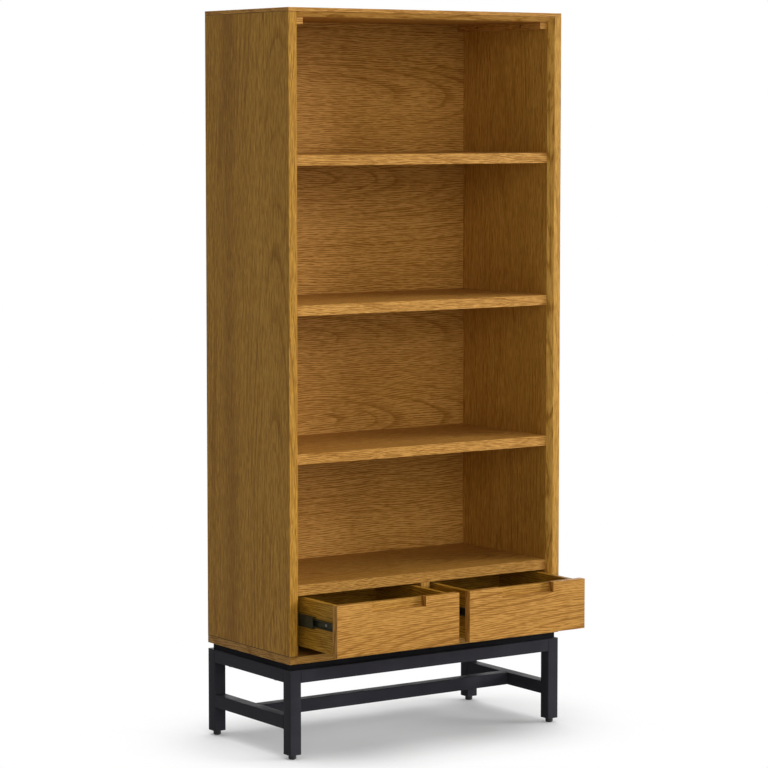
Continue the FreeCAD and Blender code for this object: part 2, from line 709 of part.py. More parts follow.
for bay in BAYS:
    # Members fixed to the carcass
    start = CLOSED_START
    member = Piece(f"{bay}_cabinet_members", ("0", start, AXIS))
    for side in slide_sides(bay):
        section = channel(side, "0", "cabinet_flange_reach", "web_thickness", CABINET_HALF, CABINET_CLEAR)
        member.add("Y", start, f"{start} + slide_length", section)
        grooves(member, side, "outer_ball_row", OUTER_ROW, start)
        head = between(side, SLIDE_SCREW_SEAT, "web_thickness")
        member.drill("X", *head, CABINET_SCREWS, "screw_head")
        member.drill("X", *between(side, "0", SLIDE_SCREW_SEAT), CABINET_SCREWS, "screw_diameter")
        shank = between(side, f"{SLIDE_SCREW_SEAT} - slide_screw_length", SLIDE_SCREW_SEAT)
        cabinet_screws.add_shanks("X", *head, CABINET_SCREWS, "screw_head")
        cabinet_screws.add_shanks("X", *shank, CABINET_SCREWS, "screw_diameter")
    keep(member)

    # Members between the carcass and the drawer, which run out half as far as the drawer
    start = f"({CLOSED_START} - standing_open / 2)"
    member = Piece(f"{bay}_middle_members", ("0", start, AXIS))
    for side in slide_sides(bay):
        section = channel(side, "middle_member_offset", "middle_flange_reach", "web_thickness",
                          MIDDLE_HALF, MIDDLE_CLEAR)
        member.add("Y", start, f"{start} + slide_length", section)
        grooves(member, side, "outer_ball_row", OUTER_ROW, start)
        grooves(member, side, "inner_ball_row", INNER_ROW, start)
    keep(member)

    # Members fixed to the drawer
    start = f"({CLOSED_START} - standing_open)"
    member = Piece(f"{bay}_drawer_members", ("0", start, AXIS))
    screws = Piece(f"{bay}_slide_screws", ("0", start, AXIS))
    for side in slide_sides(bay):
        section = channel(side, "slide_space", "drawer_flange_start", "(-web_thickness)",
                          DRAWER_HALF, DRAWER_CLEAR)
        member.add("Y", start, f"{start} + slide_length", section)
        grooves(member, side, "inner_ball_row", INNER_ROW, start)
        head = between(side, "slide_space - web_thickness", DRAWER_SCREW_SEAT)
        member.drill("X", *head, slide_screws(start), "screw_head")
        member.drill("X", *between(side, DRAWER_SCREW_SEAT, "slide_space"), slide_screws(start), "screw_diameter")
        shank = between(side, DRAWER_SCREW_SEAT, f"{DRAWER_SCREW_SEAT} + slide_screw_length")
        screws.add_shanks("X", *head, slide_screws(start), "screw_head")
        screws.add_shanks("X", *shank, slide_screws(start), "screw_diameter")
    keep(member)
    keep(screws)
keep(cabinet_screws)

# A cage is a thin channel with a window round each ball. The outer cage runs out a quarter
# as far as the drawer and the inner one three quarters as far. Each ball is a cube with all
# its edges cut back, whose eight-sided section fits the round one that rolls in the raceways.
CAGES = {
    "outer": ("outer_ball_row", OUTER_ROW, "standing_open / 4", "web_thickness + cage_gap"),
    "inner": ("inner_ball_row", INNER_ROW, "3 * standing_open / 4",
              "middle_member_offset + web_thickness + cage_gap"),
}
BALLS_IN_ROW = 3
BALL_ACROSS = f"(ball_diameter * {math.cos(math.pi / 8)})"
BALL_CUT = f"({BALL_ACROSS} * {1 - math.sqrt(0.5)})"


for bay in BAYS:
    for level, (row_reach, row_height, shift, cage_back) in CAGES.items():
        start = f"({CLOSED_START} + cage_setback - {shift})"
        strips = Piece(f"{bay}_{level}_cage_strips", ("0", start, AXIS))
        balls = Piece(f"{bay}_{level}_balls", ("0", start, AXIS))
        half = f"{BALL_ACROSS} / 2"
        outer = f"({row_height} + cage_flange / 2)"
        inner = f"({row_height} - cage_flange / 2)"
        places = []
        for side in slide_sides(bay):
            lips = f"({row_reach} + cage_reach)"
            strips.add("Y", start, f"{start} + cage_length",
                       channel(side, cage_back, lips, "cage_web", outer, inner))
            for index in range(BALLS_IN_ROW):
                steps = index - (BALLS_IN_ROW - 1) / 2
                places.append((out_from(side, row_reach), f"({start} + cage_length / 2 + {steps} * ball_pitch)"))
        for way in ("-1", "1"):
            row = f"({AXIS} + {way} * {row_height})"
            flange = (f"{row} - cage_flange", f"{row} + cage_flange")
            strips.cut("Z", *flange, *squares(places, "ball_window"))
            balls.add("Z", f"{row} - {half}", f"{row} + {half}", *squares(places, BALL_ACROSS))
        balls.dress("Chamfer", BALL_CUT, lambda edge: True)
        group = doc.addObject("Part::Compound", f"{bay}_{level}_ball_cages")
        group.Label = f"{bay}_{level}_ball_cages"
        group.Links = [strips.body, balls.body]
        pieces[group.Label] = group

# ---------------------------------------------------------------------------------------
# Drawers, standing open
# ---------------------------------------------------------------------------------------

FACE = f"({SHELF_FRONT} - standing_open)"
BOX_START = f"({FACE} + front_thickness)"
BOX_END = f"({BOX_START} + box_length)"
FACE_TOP = f"({DECK_UNDER} - front_top_gap)"
FACE_BOTTOM = f"({FLOOR_TOP} + front_bottom_gap)"
BOX_TOP = f"({FACE_TOP} - box_top_drop)"
BOX_BOTTOM = f"({FACE_BOTTOM} + box_bottom_rise)"
GROOVE = (f"{BOX_BOTTOM} + floor_rise", f"{BOX_BOTTOM} + floor_rise + floor_thickness")

for bay, (low, high) in BAYS.items():
    middle = f"(({low} + {high}) / 2)"
    box_low = f"({low} + slide_space)"
    box_high = f"({high} - slide_space)"
    clear_low = f"({box_low} + box_wall)"
    clear_high = f"({box_high} - box_wall)"
    groove_x = (f"{clear_low} - floor_groove", f"{clear_high} + floor_groove")
    groove_y = (f"{BOX_START} + box_wall - floor_groove", f"{BOX_END} - box_wall + floor_groove")

    front = board(f"{bay}_drawer_front", (f"{low} + front_side_gap", f"{high} - front_side_gap"),
                  (FACE, BOX_START), (FACE_BOTTOM, FACE_TOP))
    front.cut("Z", f"{FACE_TOP} - pull_height", FACE_TOP,
              rectangle((f"{middle} - pull_width / 2", f"{middle} + pull_width / 2"), (FACE, BOX_START)))
    seat = f"({BOX_START} + box_wall)"
    places = [
        (x, z)
        for x in (f"{box_low} + front_screw_inset", f"{box_high} - front_screw_inset")
        for z in (f"{GROOVE[1]} + front_screw_rise", f"{BOX_TOP} - front_screw_rise")
    ]
    front.drill("Y", f"{seat} - screw_length - hole_play", BOX_START, places, "screw_diameter")
    keep(front)

    front_screws = Piece(f"{bay}_front_screws", ("0", seat, "0"))
    front_screws.add_shanks("Y", seat, f"{seat} + screw_head_height", places, "screw_head")
    front_screws.add_shanks("Y", f"{seat} - screw_length", seat, places, "screw_diameter")
    keep(front_screws)

    for name, wall in (("box_front", (BOX_START, f"{BOX_START} + box_wall")),
                       ("box_back", (f"{BOX_END} - box_wall", BOX_END))):
        end = board(f"{bay}_{name}", (f"{clear_low} - box_rabbet", f"{clear_high} + box_rabbet"),
                    wall, (BOX_BOTTOM, BOX_TOP))
        end.cut("Z", GROOVE[0], GROOVE[1], rectangle(groove_x, groove_y))
        if name == "box_front":
            end.drill("Y", *wall, places, "screw_diameter")
        keep(end)

    left_slide, right_slide = slide_sides(bay)
    for name, outer, inner, slide in (("box_left_side", box_low, clear_low, left_slide),
                                      ("box_right_side", box_high, clear_high, right_slide)):
        side = board(f"{bay}_{name}", (outer, inner), (BOX_START, BOX_END), (BOX_BOTTOM, BOX_TOP))
        rabbet = (f"{inner} - {slide[1]} * box_rabbet", inner)
        side.cut("Z", BOX_BOTTOM, BOX_TOP,
                 rectangle(rabbet, (BOX_START, f"{BOX_START} + box_wall")),
                 rectangle(rabbet, (f"{BOX_END} - box_wall", BOX_END)))
        side.cut("Z", GROOVE[0], GROOVE[1], rectangle(groove_x, groove_y))
        tip = f"({DRAWER_SCREW_SEAT} + slide_screw_length + hole_play)"
        places = slide_screws(f"({CLOSED_START} - standing_open)")
        side.drill("X", *between(slide, "slide_space", tip), places, "screw_diameter")
        keep(side)

    keep(board(f"{bay}_box_bottom",
               (f"{groove_x[0]} + floor_play", f"{groove_x[1]} - floor_play"),
               (f"{groove_y[0]} + floor_play", f"{groove_y[1]} - floor_play"), GROOVE))

# ---------------------------------------------------------------------------------------
# Check every object, then write each piece
# ---------------------------------------------------------------------------------------

doc.recompute()
for item in doc.Objects:
    faults = [word for word in item.State if word in ("Invalid", "Error")]
    if faults:
        raise RuntimeError(f"{item.Name} is {faults[0]}")

os.makedirs("parts", exist_ok=True)
for name, item in pieces.items():
    if item.Shape.isNull() or not item.Shape.isValid():
        raise RuntimeError(f"{name} has no valid shape")
for name, item in pieces.items():
    item.Shape.exportStep(f"parts/{name}.step")
    box = item.Shape.BoundBox
    print(f"{name}: {len(item.Shape.Solids)} solids, {item.Shape.Volume / 1000:.1f} cm3, "
          f"x {box.XMin:.1f}..{box.XMax:.1f} y {box.YMin:.1f}..{box.YMax:.1f} z {box.ZMin:.1f}..{box.ZMax:.1f}")
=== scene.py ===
"""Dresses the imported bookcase: its oak boards, steel base, slides, screws and the studio round them."""

import json
import logging
import math
from dataclasses import dataclass, field, replace
from enum import Enum

import bmesh
import bpy
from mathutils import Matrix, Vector

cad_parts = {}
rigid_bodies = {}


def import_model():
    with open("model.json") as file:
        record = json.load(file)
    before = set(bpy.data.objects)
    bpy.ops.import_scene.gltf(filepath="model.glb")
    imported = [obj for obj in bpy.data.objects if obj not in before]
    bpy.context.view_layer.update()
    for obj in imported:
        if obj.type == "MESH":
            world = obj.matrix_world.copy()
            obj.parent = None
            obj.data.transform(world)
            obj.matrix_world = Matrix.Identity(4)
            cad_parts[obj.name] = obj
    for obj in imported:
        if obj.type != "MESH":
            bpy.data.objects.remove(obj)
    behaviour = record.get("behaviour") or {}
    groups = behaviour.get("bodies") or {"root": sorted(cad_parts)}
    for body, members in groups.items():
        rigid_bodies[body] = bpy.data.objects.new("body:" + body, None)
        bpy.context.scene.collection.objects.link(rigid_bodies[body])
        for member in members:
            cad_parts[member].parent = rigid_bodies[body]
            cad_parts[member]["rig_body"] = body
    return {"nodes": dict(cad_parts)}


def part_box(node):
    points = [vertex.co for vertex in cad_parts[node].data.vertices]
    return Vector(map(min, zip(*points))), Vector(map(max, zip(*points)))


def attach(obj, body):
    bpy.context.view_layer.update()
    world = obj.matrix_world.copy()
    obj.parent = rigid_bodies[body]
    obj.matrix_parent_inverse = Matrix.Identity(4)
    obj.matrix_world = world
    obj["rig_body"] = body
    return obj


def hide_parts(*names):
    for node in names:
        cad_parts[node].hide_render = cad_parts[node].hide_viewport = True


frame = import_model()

Pair = tuple[float, float]
Triple = tuple[float, float, float]
Socket = bpy.types.NodeSocket
Sockets = bpy.types.bpy_prop_collection

MM = 0.001
# The names of the meshes' own attributes.
END_FACE = "end_face"
SHADED_SEAM = "shaded_seam"
FACING = "facing"
# Faces closer to one plane than FLAT_ANGLE become one face, edges past SHARP_ANGLE are shaded sharp,
# and edges past EASED_ANGLE are eased.
FLAT_ANGLE = math.radians(0.5)
SHARP_ANGLE = math.radians(30)
EASED_ANGLE = math.radians(35)
# Corners within WELD become one, and those within LEVEL_PLAY, or a micron by rounding, share a level.
WELD = 0.002 * MM
LEVEL_PLAY = 0.01 * MM
LEVEL_DIGITS = 6
# What each board sets in the oak pattern, named as the fields of its finish are.
LEAF_INPUTS = ("Seed", "Heart Depth", "Heart Side", "Slant", "Leaf Width", "Ring Depth", "Band Side",
               "Band Depth", "Fibre Depth")

log = logging.getLogger("bookcase")


class Grain(Enum):
    """Which way a board's fibres run and which way its face looks: along, across and through it."""

    SHELF = ("X", "Y", "Z")
    UPRIGHT = ("Z", "Y", "X")
    CROSSWISE = ("X", "Z", "Y")
    DRAWER_SIDE = ("Y", "Z", "X")
    CLEAT = ("Y", "X", "Z")


class HeadShape(Enum):
    """The head of a fastener and what turns it."""

    PAN_CROSS = "pan_cross"
    FLAT_CROSS = "flat_cross"
    HEXAGON = "hexagon"


# Node trees


class Graph:
    """Adds nodes to one node tree and joins them."""

    def __init__(self, tree: bpy.types.NodeTree) -> None:
        """Take over an empty tree."""
        self.tree = tree

    def node(self, kind: str, inputs: dict[str | int, object] | None = None,
             **settings: object) -> bpy.types.Node:
        """Add a node.

        Args:
            kind: The node's type name.
            inputs: What its inputs get, by their name or number.
            **settings: Attributes to set on it.

        Returns:
            The new node.
        """
        made = self.tree.nodes.new(kind)
        for name, value in settings.items():
            setattr(made, name, value)
        for key, value in (inputs or {}).items():
            self.feed(made.inputs[key], value)
        return made

    def feed(self, target: Socket, value: object) -> None:
        """Give a socket a value, or join another socket to it.

        Args:
            target: The input socket.
            value: A socket, a number or a tuple.
        """
        if isinstance(value, Socket):
            self.tree.links.new(value, target)
        else:
            target.default_value = value

    def math(self, operation: str, *values: object) -> Socket:
        """Do arithmetic on numbers.

        Args:
            operation: The Math node's operation.
            *values: Its inputs, as sockets or numbers.

        Returns:
            The result.
        """
        return self.node("ShaderNodeMath", dict(enumerate(values)), operation=operation).outputs[0]

    def plus(self, first: object, second: object) -> Socket:
        """Add two numbers."""
        return self.math("ADD", first, second)

    def minus(self, first: object, second: object) -> Socket:
        """Take the second number from the first."""
        return self.math("SUBTRACT", first, second)

    def times(self, first: object, second: object) -> Socket:
        """Multiply two numbers."""
        return self.math("MULTIPLY", first, second)

    def vector(self, operation: str, first: object, second: object) -> Socket:
        """Do arithmetic on two vectors."""
        return self.node("ShaderNodeVectorMath", {0: first, 1: second}, operation=operation).outputs[0]

    def combine(self, x: object, y: object, z: object) -> Socket:
        """Make a vector of three numbers."""
        return self.node("ShaderNodeCombineXYZ", {"X": x, "Y": y, "Z": z}).outputs[0]

    def split(self, vector: Socket) -> Sockets:
        """Take a vector apart into X, Y and Z."""
        return self.node("ShaderNodeSeparateXYZ", {0: vector}).outputs

    def noise(self, place: Socket, stretch: Triple, detail: float = 2.0, roughness: float = 0.5) -> Socket:
        """Read smooth noise whose features are stretched along the axes.

        Args:
            place: The coordinates.
            stretch: Features in a metre along each axis.
            detail: How many finer layers are added.
            roughness: How strong the finer layers are.

        Returns:
            The noise, from 0 to 1.
        """
        scaled = self.vector("MULTIPLY", place, stretch)
        inputs = {"Vector": scaled, "Scale": 1.0, "Detail": detail, "Roughness": roughness}
        return self.node("ShaderNodeTexNoise", inputs, noise_dimensions="3D").outputs["Fac"]

    def remap(self, value: Socket, low: float, high: float, to_low: float = 0.0,
              to_high: float = 1.0) -> Socket:
        """Map one range to another, clamped.

        Args:
            value: What is mapped.
            low: Start of the range it has.
            high: End of the range it has.
            to_low: Start of the range it gets.
            to_high: End of the range it gets.

        Returns:
            The mapped value.
        """
        inputs = dict(enumerate((value, low, high, to_low, to_high)))
        return self.node("ShaderNodeMapRange", inputs, clamp=True).outputs[0]

    def ramp(self, factor: Socket, *colours: Triple) -> Socket:
        """Turn a factor into a colour.

        Args:
            factor: From 0 to 1.
            *colours: The linear colours, evenly spread.

        Returns:
            The colour.
        """
        made = self.node("ShaderNodeValToRGB", {"Fac": factor})
        elements = made.color_ramp.elements
        while len(elements) < len(colours):
            elements.new(1.0)
        for step, (element, colour) in enumerate(zip(elements, colours)):
            element.position = step / (len(colours) - 1)
            element.color = (*colour, 1.0)
        return made.outputs["Color"]

    def blend(self, factor: object, first: object, second: Triple, how: str = "MIX") -> Socket:
        """Mix two colours.

        Args:
            factor: How much of the second.
            first: The first colour.
            second: The second colour.
            how: The blend type.

        Returns:
            The mixed colour.
        """
        inputs = {"Factor": factor, "A": first, "B": (*second, 1.0)}
        return self.node("ShaderNodeMix", inputs, data_type="RGBA", blend_type=how).outputs["Result"]


def cleared(owner: bpy.types.Material | bpy.types.World) -> Graph:
    """Empty the node tree of a material or a world.

    Args:
        owner: The material or world.

    Returns:
        The graph of its tree.
    """
    owner.use_nodes = True
    owner.node_tree.nodes.clear()
    return Graph(owner.node_tree)


def end_material(graph: Graph, looks: dict[str, object], height: Socket, depth: float, share: float) -> None:
    """End a material in one principled shader with a bumpy surface.

    Args:
        graph: The material's graph.
        looks: What the shader's inputs get.
        height: The height, from 0 to 1.
        depth: What a height of 1 stands for, in metres.
        share: How much of the bump shows.
    """
    bump = graph.node("ShaderNodeBump", {"Strength": share, "Distance": depth, "Height": height})
    shader = graph.node("ShaderNodeBsdfPrincipled", {**looks, "Normal": bump.outputs["Normal"]})
    graph.node("ShaderNodeOutputMaterial", {"Surface": shader.outputs["BSDF"]})


# Finishes


@dataclass(frozen=True)
class OakPattern:
    """Plain-sliced oak veneer: growth rings that the face cuts at a slant, fibres and open pores.

    A field that ends in noise says how many features a metre has along, across and through the board.
    One that ends in range says which part of a noise or a ring is spread out, from the faintest value or 0
    up to 1. A usual value is what that part comes to on average, where its share changes nothing.
    """

    ring_spacing: float = 15 * MM
    uneven_rings: float = 2.4
    ring_pace: float = 30.0
    early_range: Pair = (0.0, 0.26)
    late_range: Pair = (0.92, 1.0)
    drift_noise: Triple = (1.1, 0.4, 0.4)
    wander: float = 60 * MM
    wobble_noise: Triple = (4.5, 14.0, 5.0)
    wobble: float = 9 * MM
    patch_noise: Triple = (2.2, 7.0, 7.0)
    patch_range: Pair = (0.42, 0.58)
    faintest_ring: float = 0.12
    band_noise: Triple = (2.4, 9.0, 9.0)
    band_width: float = 42 * MM
    wave_noise: Triple = (3.2, 6.0, 6.0)
    wave: float = 26 * MM
    line_spacing: float = 4.7 * MM
    line_lean: float = 1.3
    line_thinness: float = 2.0
    line_usual: float = 0.22
    line_share: float = 0.92
    sway_noise: Triple = (6.0, 34.0, 34.0)
    line_sway: float = 3.4
    break_noise: Triple = (42.0, 260.0, 260.0)
    break_range: Pair = (0.36, 0.62)
    faintest_line: float = 0.15
    hair_noise: Triple = (32.0, 900.0, 900.0)
    hair_range: Pair = (0.36, 0.52)
    hair_usual: float = 0.74
    hair_share: float = 0.52
    streak_noise: Triple = (2.6, 130.0, 130.0)
    streak_share: float = 0.28
    broad_noise: Triple = (0.6, 7.0, 7.0)
    broad_share: float = 0.55
    pore_noise: Triple = (60.0, 700.0, 700.0)
    pore_range: Pair = (0.56, 0.68)
    faintest_pore: float = 0.4
    tone_height: float = 0.4

    def group(self) -> bpy.types.NodeTree:
        """Build the pattern's node group, or find the one built before.

        Returns:
            The node group, with Tone, Pore and Height for a place on a board.
        """
        found = bpy.data.node_groups.get("oak_pattern")
        if found:
            return found
        tree = bpy.data.node_groups.new("oak_pattern", "ShaderNodeTree")
        tree.interface.new_socket("Place", in_out="INPUT", socket_type="NodeSocketVector")
        for names, way in ((LEAF_INPUTS, "INPUT"), (("Tone", "Pore", "Height"), "OUTPUT")):
            for name in names:
                tree.interface.new_socket(name, in_out=way, socket_type="NodeSocketFloat")
        graph = Graph(tree)
        given = graph.node("NodeGroupInput").outputs
        place = graph.vector("ADD", given["Place"], graph.combine(*[given["Seed"]] * 3))
        bend = graph.times(graph.minus(graph.noise(place, self.wave_noise), 0.5), self.wave)
        waved = graph.vector("ADD", place, graph.combine(0.0, bend, 0.0))

        patchy = graph.remap(graph.noise(place, self.patch_noise), *self.patch_range, self.faintest_ring)
        ring = graph.times(self.rings(graph, given, place), patchy)
        dashes = graph.remap(graph.noise(waved, self.pore_noise, detail=1.0), *self.pore_range)
        pore = graph.times(dashes, graph.remap(ring, 0.0, 1.0, self.faintest_pore))
        lines = self.pore_lines(graph, waved)
        hair = graph.remap(graph.noise(waved, self.hair_noise, detail=1.0), *self.hair_range)
        streak = graph.noise(waved, self.streak_noise)
        woven = 0.0
        for part, usual, share in ((lines, self.line_usual, -self.line_share),
                                   (hair, self.hair_usual, self.hair_share),
                                   (streak, 0.5, self.streak_share)):
            woven = graph.plus(woven, graph.times(graph.minus(part, usual), share))

        tone = graph.minus(0.5, graph.times(ring, given["Ring Depth"]))
        tone = graph.minus(tone, graph.times(self.band(graph, given), given["Band Depth"]))
        tone = graph.plus(tone, graph.times(woven, given["Fibre Depth"]))
        broad = graph.minus(graph.noise(place, self.broad_noise), 0.5)
        tone = graph.plus(tone, graph.times(broad, self.broad_share))
        height = graph.minus(graph.times(tone, self.tone_height), pore)
        graph.node("NodeGroupOutput", {"Tone": tone, "Pore": pore, "Height": height})
        return tree

    def pore_lines(self, graph: Graph, place: Socket) -> Socket:
        """Draw the fine dark lines that rows of pores make along the grain, broken here and there.

        Args:
            graph: The pattern's graph.
            place: Where on the board.

        Returns:
            How dark the lines are, from 0 to 1.
        """
        _, across, through = graph.split(place)
        beside = graph.plus(across, graph.times(through, self.line_lean))
        sway = graph.times(graph.noise(place, self.sway_noise, detail=1.0), self.line_sway)
        phase = graph.plus(graph.math("DIVIDE", beside, self.line_spacing), sway)
        swell = graph.math("SINE", graph.times(phase, 2 * math.pi))
        thin = graph.math("POWER", graph.plus(graph.times(swell, 0.5), 0.5), self.line_thinness)
        whole = graph.noise(place, self.break_noise, detail=1.0)
        return graph.times(thin, graph.remap(whole, *self.break_range, self.faintest_line))

    def band(self, graph: Graph, given: Sockets) -> Socket:
        """Draw the one darker band that a leaf of veneer may have along its grain.

        Args:
            graph: The pattern's graph.
            given: The group's inputs.

        Returns:
            How much of a place is in the band, from 0 to 1.
        """
        across = graph.split(given["Place"])["Y"]
        sway = graph.minus(graph.noise(given["Place"], self.band_noise, detail=3.0), 0.5)
        off = graph.plus(graph.minus(across, given["Band Side"]), graph.times(sway, self.wander))
        return graph.remap(graph.math("ABSOLUTE", off), self.band_width, 0.0)

    def rings(self, graph: Graph, given: Sockets, place: Socket) -> Socket:
        """Draw the early wood of each growth ring round a heart that wanders beside the board.

        Args:
            graph: The pattern's graph.
            given: The group's inputs.
            place: Where the noises are read, shifted by the board's seed.

        Returns:
            How much of a place is early wood, from 0 to 1.
        """
        along, across, through = graph.split(given["Place"])
        drift = graph.minus(graph.noise(place, self.drift_noise, detail=1.0), 0.5)
        sway = graph.minus(graph.noise(place, self.wobble_noise), 0.5)
        moved = graph.plus(across, graph.times(drift, self.wander))
        leaf = graph.math("PINGPONG", graph.plus(moved, graph.times(given["Leaf Width"], 0.5)),
                          given["Leaf Width"])
        side = graph.minus(leaf, given["Heart Side"])
        depth = graph.plus(graph.plus(through, given["Heart Depth"]), graph.times(along, given["Slant"]))
        reach = graph.math("SQRT", graph.plus(graph.times(side, side), graph.times(depth, depth)))
        reach = graph.plus(reach, graph.times(sway, self.wobble))
        inputs = {"W": reach, "Scale": self.ring_pace, "Detail": 1.0}
        pace = graph.node("ShaderNodeTexNoise", inputs, noise_dimensions="1D").outputs["Fac"]
        count = graph.plus(graph.math("DIVIDE", reach, self.ring_spacing),
                           graph.times(pace, self.uneven_rings))
        ring = graph.math("FRACT", count)
        falling = graph.minus(1.0, graph.remap(ring, *self.early_range))
        return graph.math("MAXIMUM", falling, graph.remap(ring, *self.late_range))


@dataclass(frozen=True)
class OakFinish:
    """Satin lacquered oak veneer on one board, with the board's own cut through the tree.

    The tree's heart runs beside the board: so far behind the board's middle, so far from the
    edge of the veneer's leaf, and at a slant that draws the cathedrals.
    """

    name: str
    grain: Grain
    seed: float = 0.0
    heart_depth: float = 40 * MM
    heart_side: float = 0.11
    slant: float = 0.13
    leaf_width: float = 0.30
    ring_depth: float = 0.42
    band_side: float = 0.0
    band_depth: float = 0.0
    fibre_depth: float = 1.0
    # The tint multiplies the board's colour: painted shade where it darkens a board and painted light where
    # it brightens one, for how light falls on that board.
    painted_light_tint: Triple = (1.0, 1.0, 1.0)
    dark: Triple = (0.262, 0.108, 0.013)
    middle: Triple = (0.452, 0.217, 0.040)
    light: Triple = (0.640, 0.340, 0.086)
    pore: Triple = (0.200, 0.080, 0.011)
    pore_share: float = 0.5
    # The colour of the painted shade in the joints between boards.
    shaded_seam: Triple = (0.060, 0.026, 0.004)
    roughness: Pair = (0.50, 0.74)
    specular: float = 0.10
    relief: float = 0.12 * MM
    relief_share: float = 0.5

    def material(self, middle: Vector) -> bpy.types.Material:
        """Build the material.

        Args:
            middle: The middle of the board that it is for.

        Returns:
            The material for this board.
        """
        material = bpy.data.materials.new(self.name)
        graph = cleared(material)
        place = graph.node("ShaderNodeTexCoord").outputs["Object"]
        axes = graph.split(graph.vector("SUBTRACT", place, tuple(middle)))
        along, across, through = (axes[axis] for axis in self.grain.value)
        face, end = graph.combine(along, across, through), graph.combine(across, through, along)
        ends = graph.node("ShaderNodeAttribute", attribute_name=END_FACE).outputs["Fac"]
        turned = graph.node("ShaderNodeMix", {"Factor": ends, "A": face, "B": end}, data_type="VECTOR")
        inputs = {name: getattr(self, name.lower().replace(" ", "_")) for name in LEAF_INPUTS}
        inputs["Place"] = turned.outputs["Result"]
        pattern = graph.node("ShaderNodeGroup", inputs, node_tree=OakPattern().group()).outputs
        colour = graph.ramp(pattern["Tone"], self.dark, self.middle, self.light)
        colour = graph.blend(graph.times(pattern["Pore"], self.pore_share), colour, self.pore)
        # Painted light and shade: the tint darkens or brightens this board's colour for the light it gets.
        colour = graph.blend(1.0, colour, self.painted_light_tint, "MULTIPLY")
        # Painted shade: the eased edges at a joint are darkened for the shade that falls between the boards.
        shaded_seam = graph.node("ShaderNodeAttribute", attribute_name=SHADED_SEAM).outputs["Fac"]
        looks = {"Base Color": graph.blend(shaded_seam, colour, self.shaded_seam),
                 "Roughness": graph.remap(pattern["Pore"], 0.0, 1.0, *self.roughness),
                 "Specular IOR Level": self.specular}
        end_material(graph, looks, pattern["Height"], self.relief, self.relief_share)
        return material


@dataclass(frozen=True)
class PlainFinish:
    """A finish of one colour with a faint cloud and a fine surface, such as plastic or painted board.

    Its gloss follows the cloud where cloudy_gloss is set, and the fine surface otherwise.
    """

    name: str
    colour: Triple
    shade: Triple
    roughness: Pair = (0.5, 0.65)
    metallic: float = 0.0
    specular: float = 0.3
    cloud: float = 22.0
    cloud_layers: float = 3.0
    cloud_range: Pair = (0.35, 0.7)
    cloudy_gloss: bool = False
    gloss_range: Pair = (0.3, 0.7)
    surface: Triple = (700.0, 700.0, 700.0)
    surface_layers: float = 2.0
    surface_fineness: float = 0.5
    relief: float = 0.03 * MM
    relief_share: float = 0.4

    def material(self) -> bpy.types.Material:
        """Build the material.

        Returns:
            The finish's material.
        """
        material = bpy.data.materials.new(self.name)
        graph = cleared(material)
        place = graph.node("ShaderNodeTexCoord").outputs["Object"]
        cloud = graph.noise(place, (self.cloud,) * 3, self.cloud_layers)
        fine = graph.noise(place, self.surface, self.surface_layers, self.surface_fineness)
        gloss = cloud if self.cloudy_gloss else fine
        shaded = graph.remap(cloud, *self.cloud_range)
        looks = {"Base Color": graph.blend(shaded, (*self.colour, 1.0), self.shade),
                 "Roughness": graph.remap(gloss, *self.gloss_range, *self.roughness),
                 "Metallic": self.metallic,
                 "Specular IOR Level": self.specular}
        end_material(graph, looks, fine, self.relief, self.relief_share)
        return material


@dataclass(frozen=True)
class SteelFinish(PlainFinish):
    """Bare or plated steel with fine lines from the rolls along one axis."""

    roughness: Pair = (0.26, 0.42)
    metallic: float = 1.0
    specular: float = 0.5
    cloud: float = 60.0
    cloud_layers: float = 2.0
    surface: Triple = (900.0, 12.0, 900.0)
    surface_layers: float = 3.0
    surface_fineness: float = 0.6
    relief: float = 0.01 * MM
    relief_share: float = 0.3


@dataclass(frozen=True)
class PowderCoat(PlainFinish):
    """Fine textured powder coat on welded steel tube."""

    name: str = "charcoal_powder_coat"
    colour: Triple = (0.0275, 0.0265, 0.0325)
    shade: Triple = (0.036, 0.035, 0.042)
    roughness: Pair = (0.42, 0.56)
    specular: float = 0.03
    cloud: float = 14.0
    cloudy_gloss: bool = True
    surface: Triple = (900.0, 900.0, 900.0)
    relief: float = 0.05 * MM
    relief_share: float = 0.35


# Meshes


def cad_node(name: str) -> bpy.types.Object:
    """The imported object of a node."""
    return frame["nodes"][name]


def body_of_node(name: str) -> str:
    """The body that a node rides on."""
    return cad_node(name)["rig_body"]


def middle_of(node: str) -> Vector:
    """The middle of a node's box."""
    low, high = spread([corner.co for corner in cad_node(node).data.vertices])
    return (low + high) / 2


def spread(points: list[Vector]) -> tuple[Vector, Vector]:
    """Measure the box that some places fill.

    Args:
        points: The places.

    Returns:
        The box's lowest and its highest corner.
    """
    low = Vector(tuple(min(point[axis] for point in points) for axis in range(3)))
    high = Vector(tuple(max(point[axis] for point in points) for axis in range(3)))
    return low, high


def levels_of(corners: list[Vector], axis: int) -> list[float]:
    """The different places of some corners along an axis, from the lowest up."""
    return sorted({round(corner[axis], LEVEL_DIGITS) for corner in corners})


def new_object(name: str, data: bpy.types.ID) -> bpy.types.Object:
    """Make an object at the origin and link it to the scene.

    Args:
        name: The object's name.
        data: Its mesh, light or camera.

    Returns:
        The object.
    """
    made = bpy.data.objects.new(name, data)
    bpy.context.scene.collection.objects.link(made)
    return made


def new_piece(name: str, mesh: bpy.types.Mesh, material: bpy.types.Material) -> bpy.types.Object:
    """Make a piece from a mesh.

    Args:
        name: The piece's name.
        mesh: Its mesh, with its place in it.
        material: Its finish.

    Returns:
        The piece, linked to the scene.
    """
    mesh.materials.clear()
    mesh.materials.append(material)
    return new_object(name, mesh)


def settle(piece: bpy.types.Object, node: str) -> bpy.types.Object:
    """Let a piece stand for a CAD node and ride on its body.

    Args:
        piece: The finished piece.
        node: The node that it stands for.

    Returns:
        The same piece.
    """
    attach(piece, body_of_node(node))
    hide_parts(node)
    log.info("%s stands for %s: %d faces", piece.name, node, len(piece.data.polygons))
    return piece


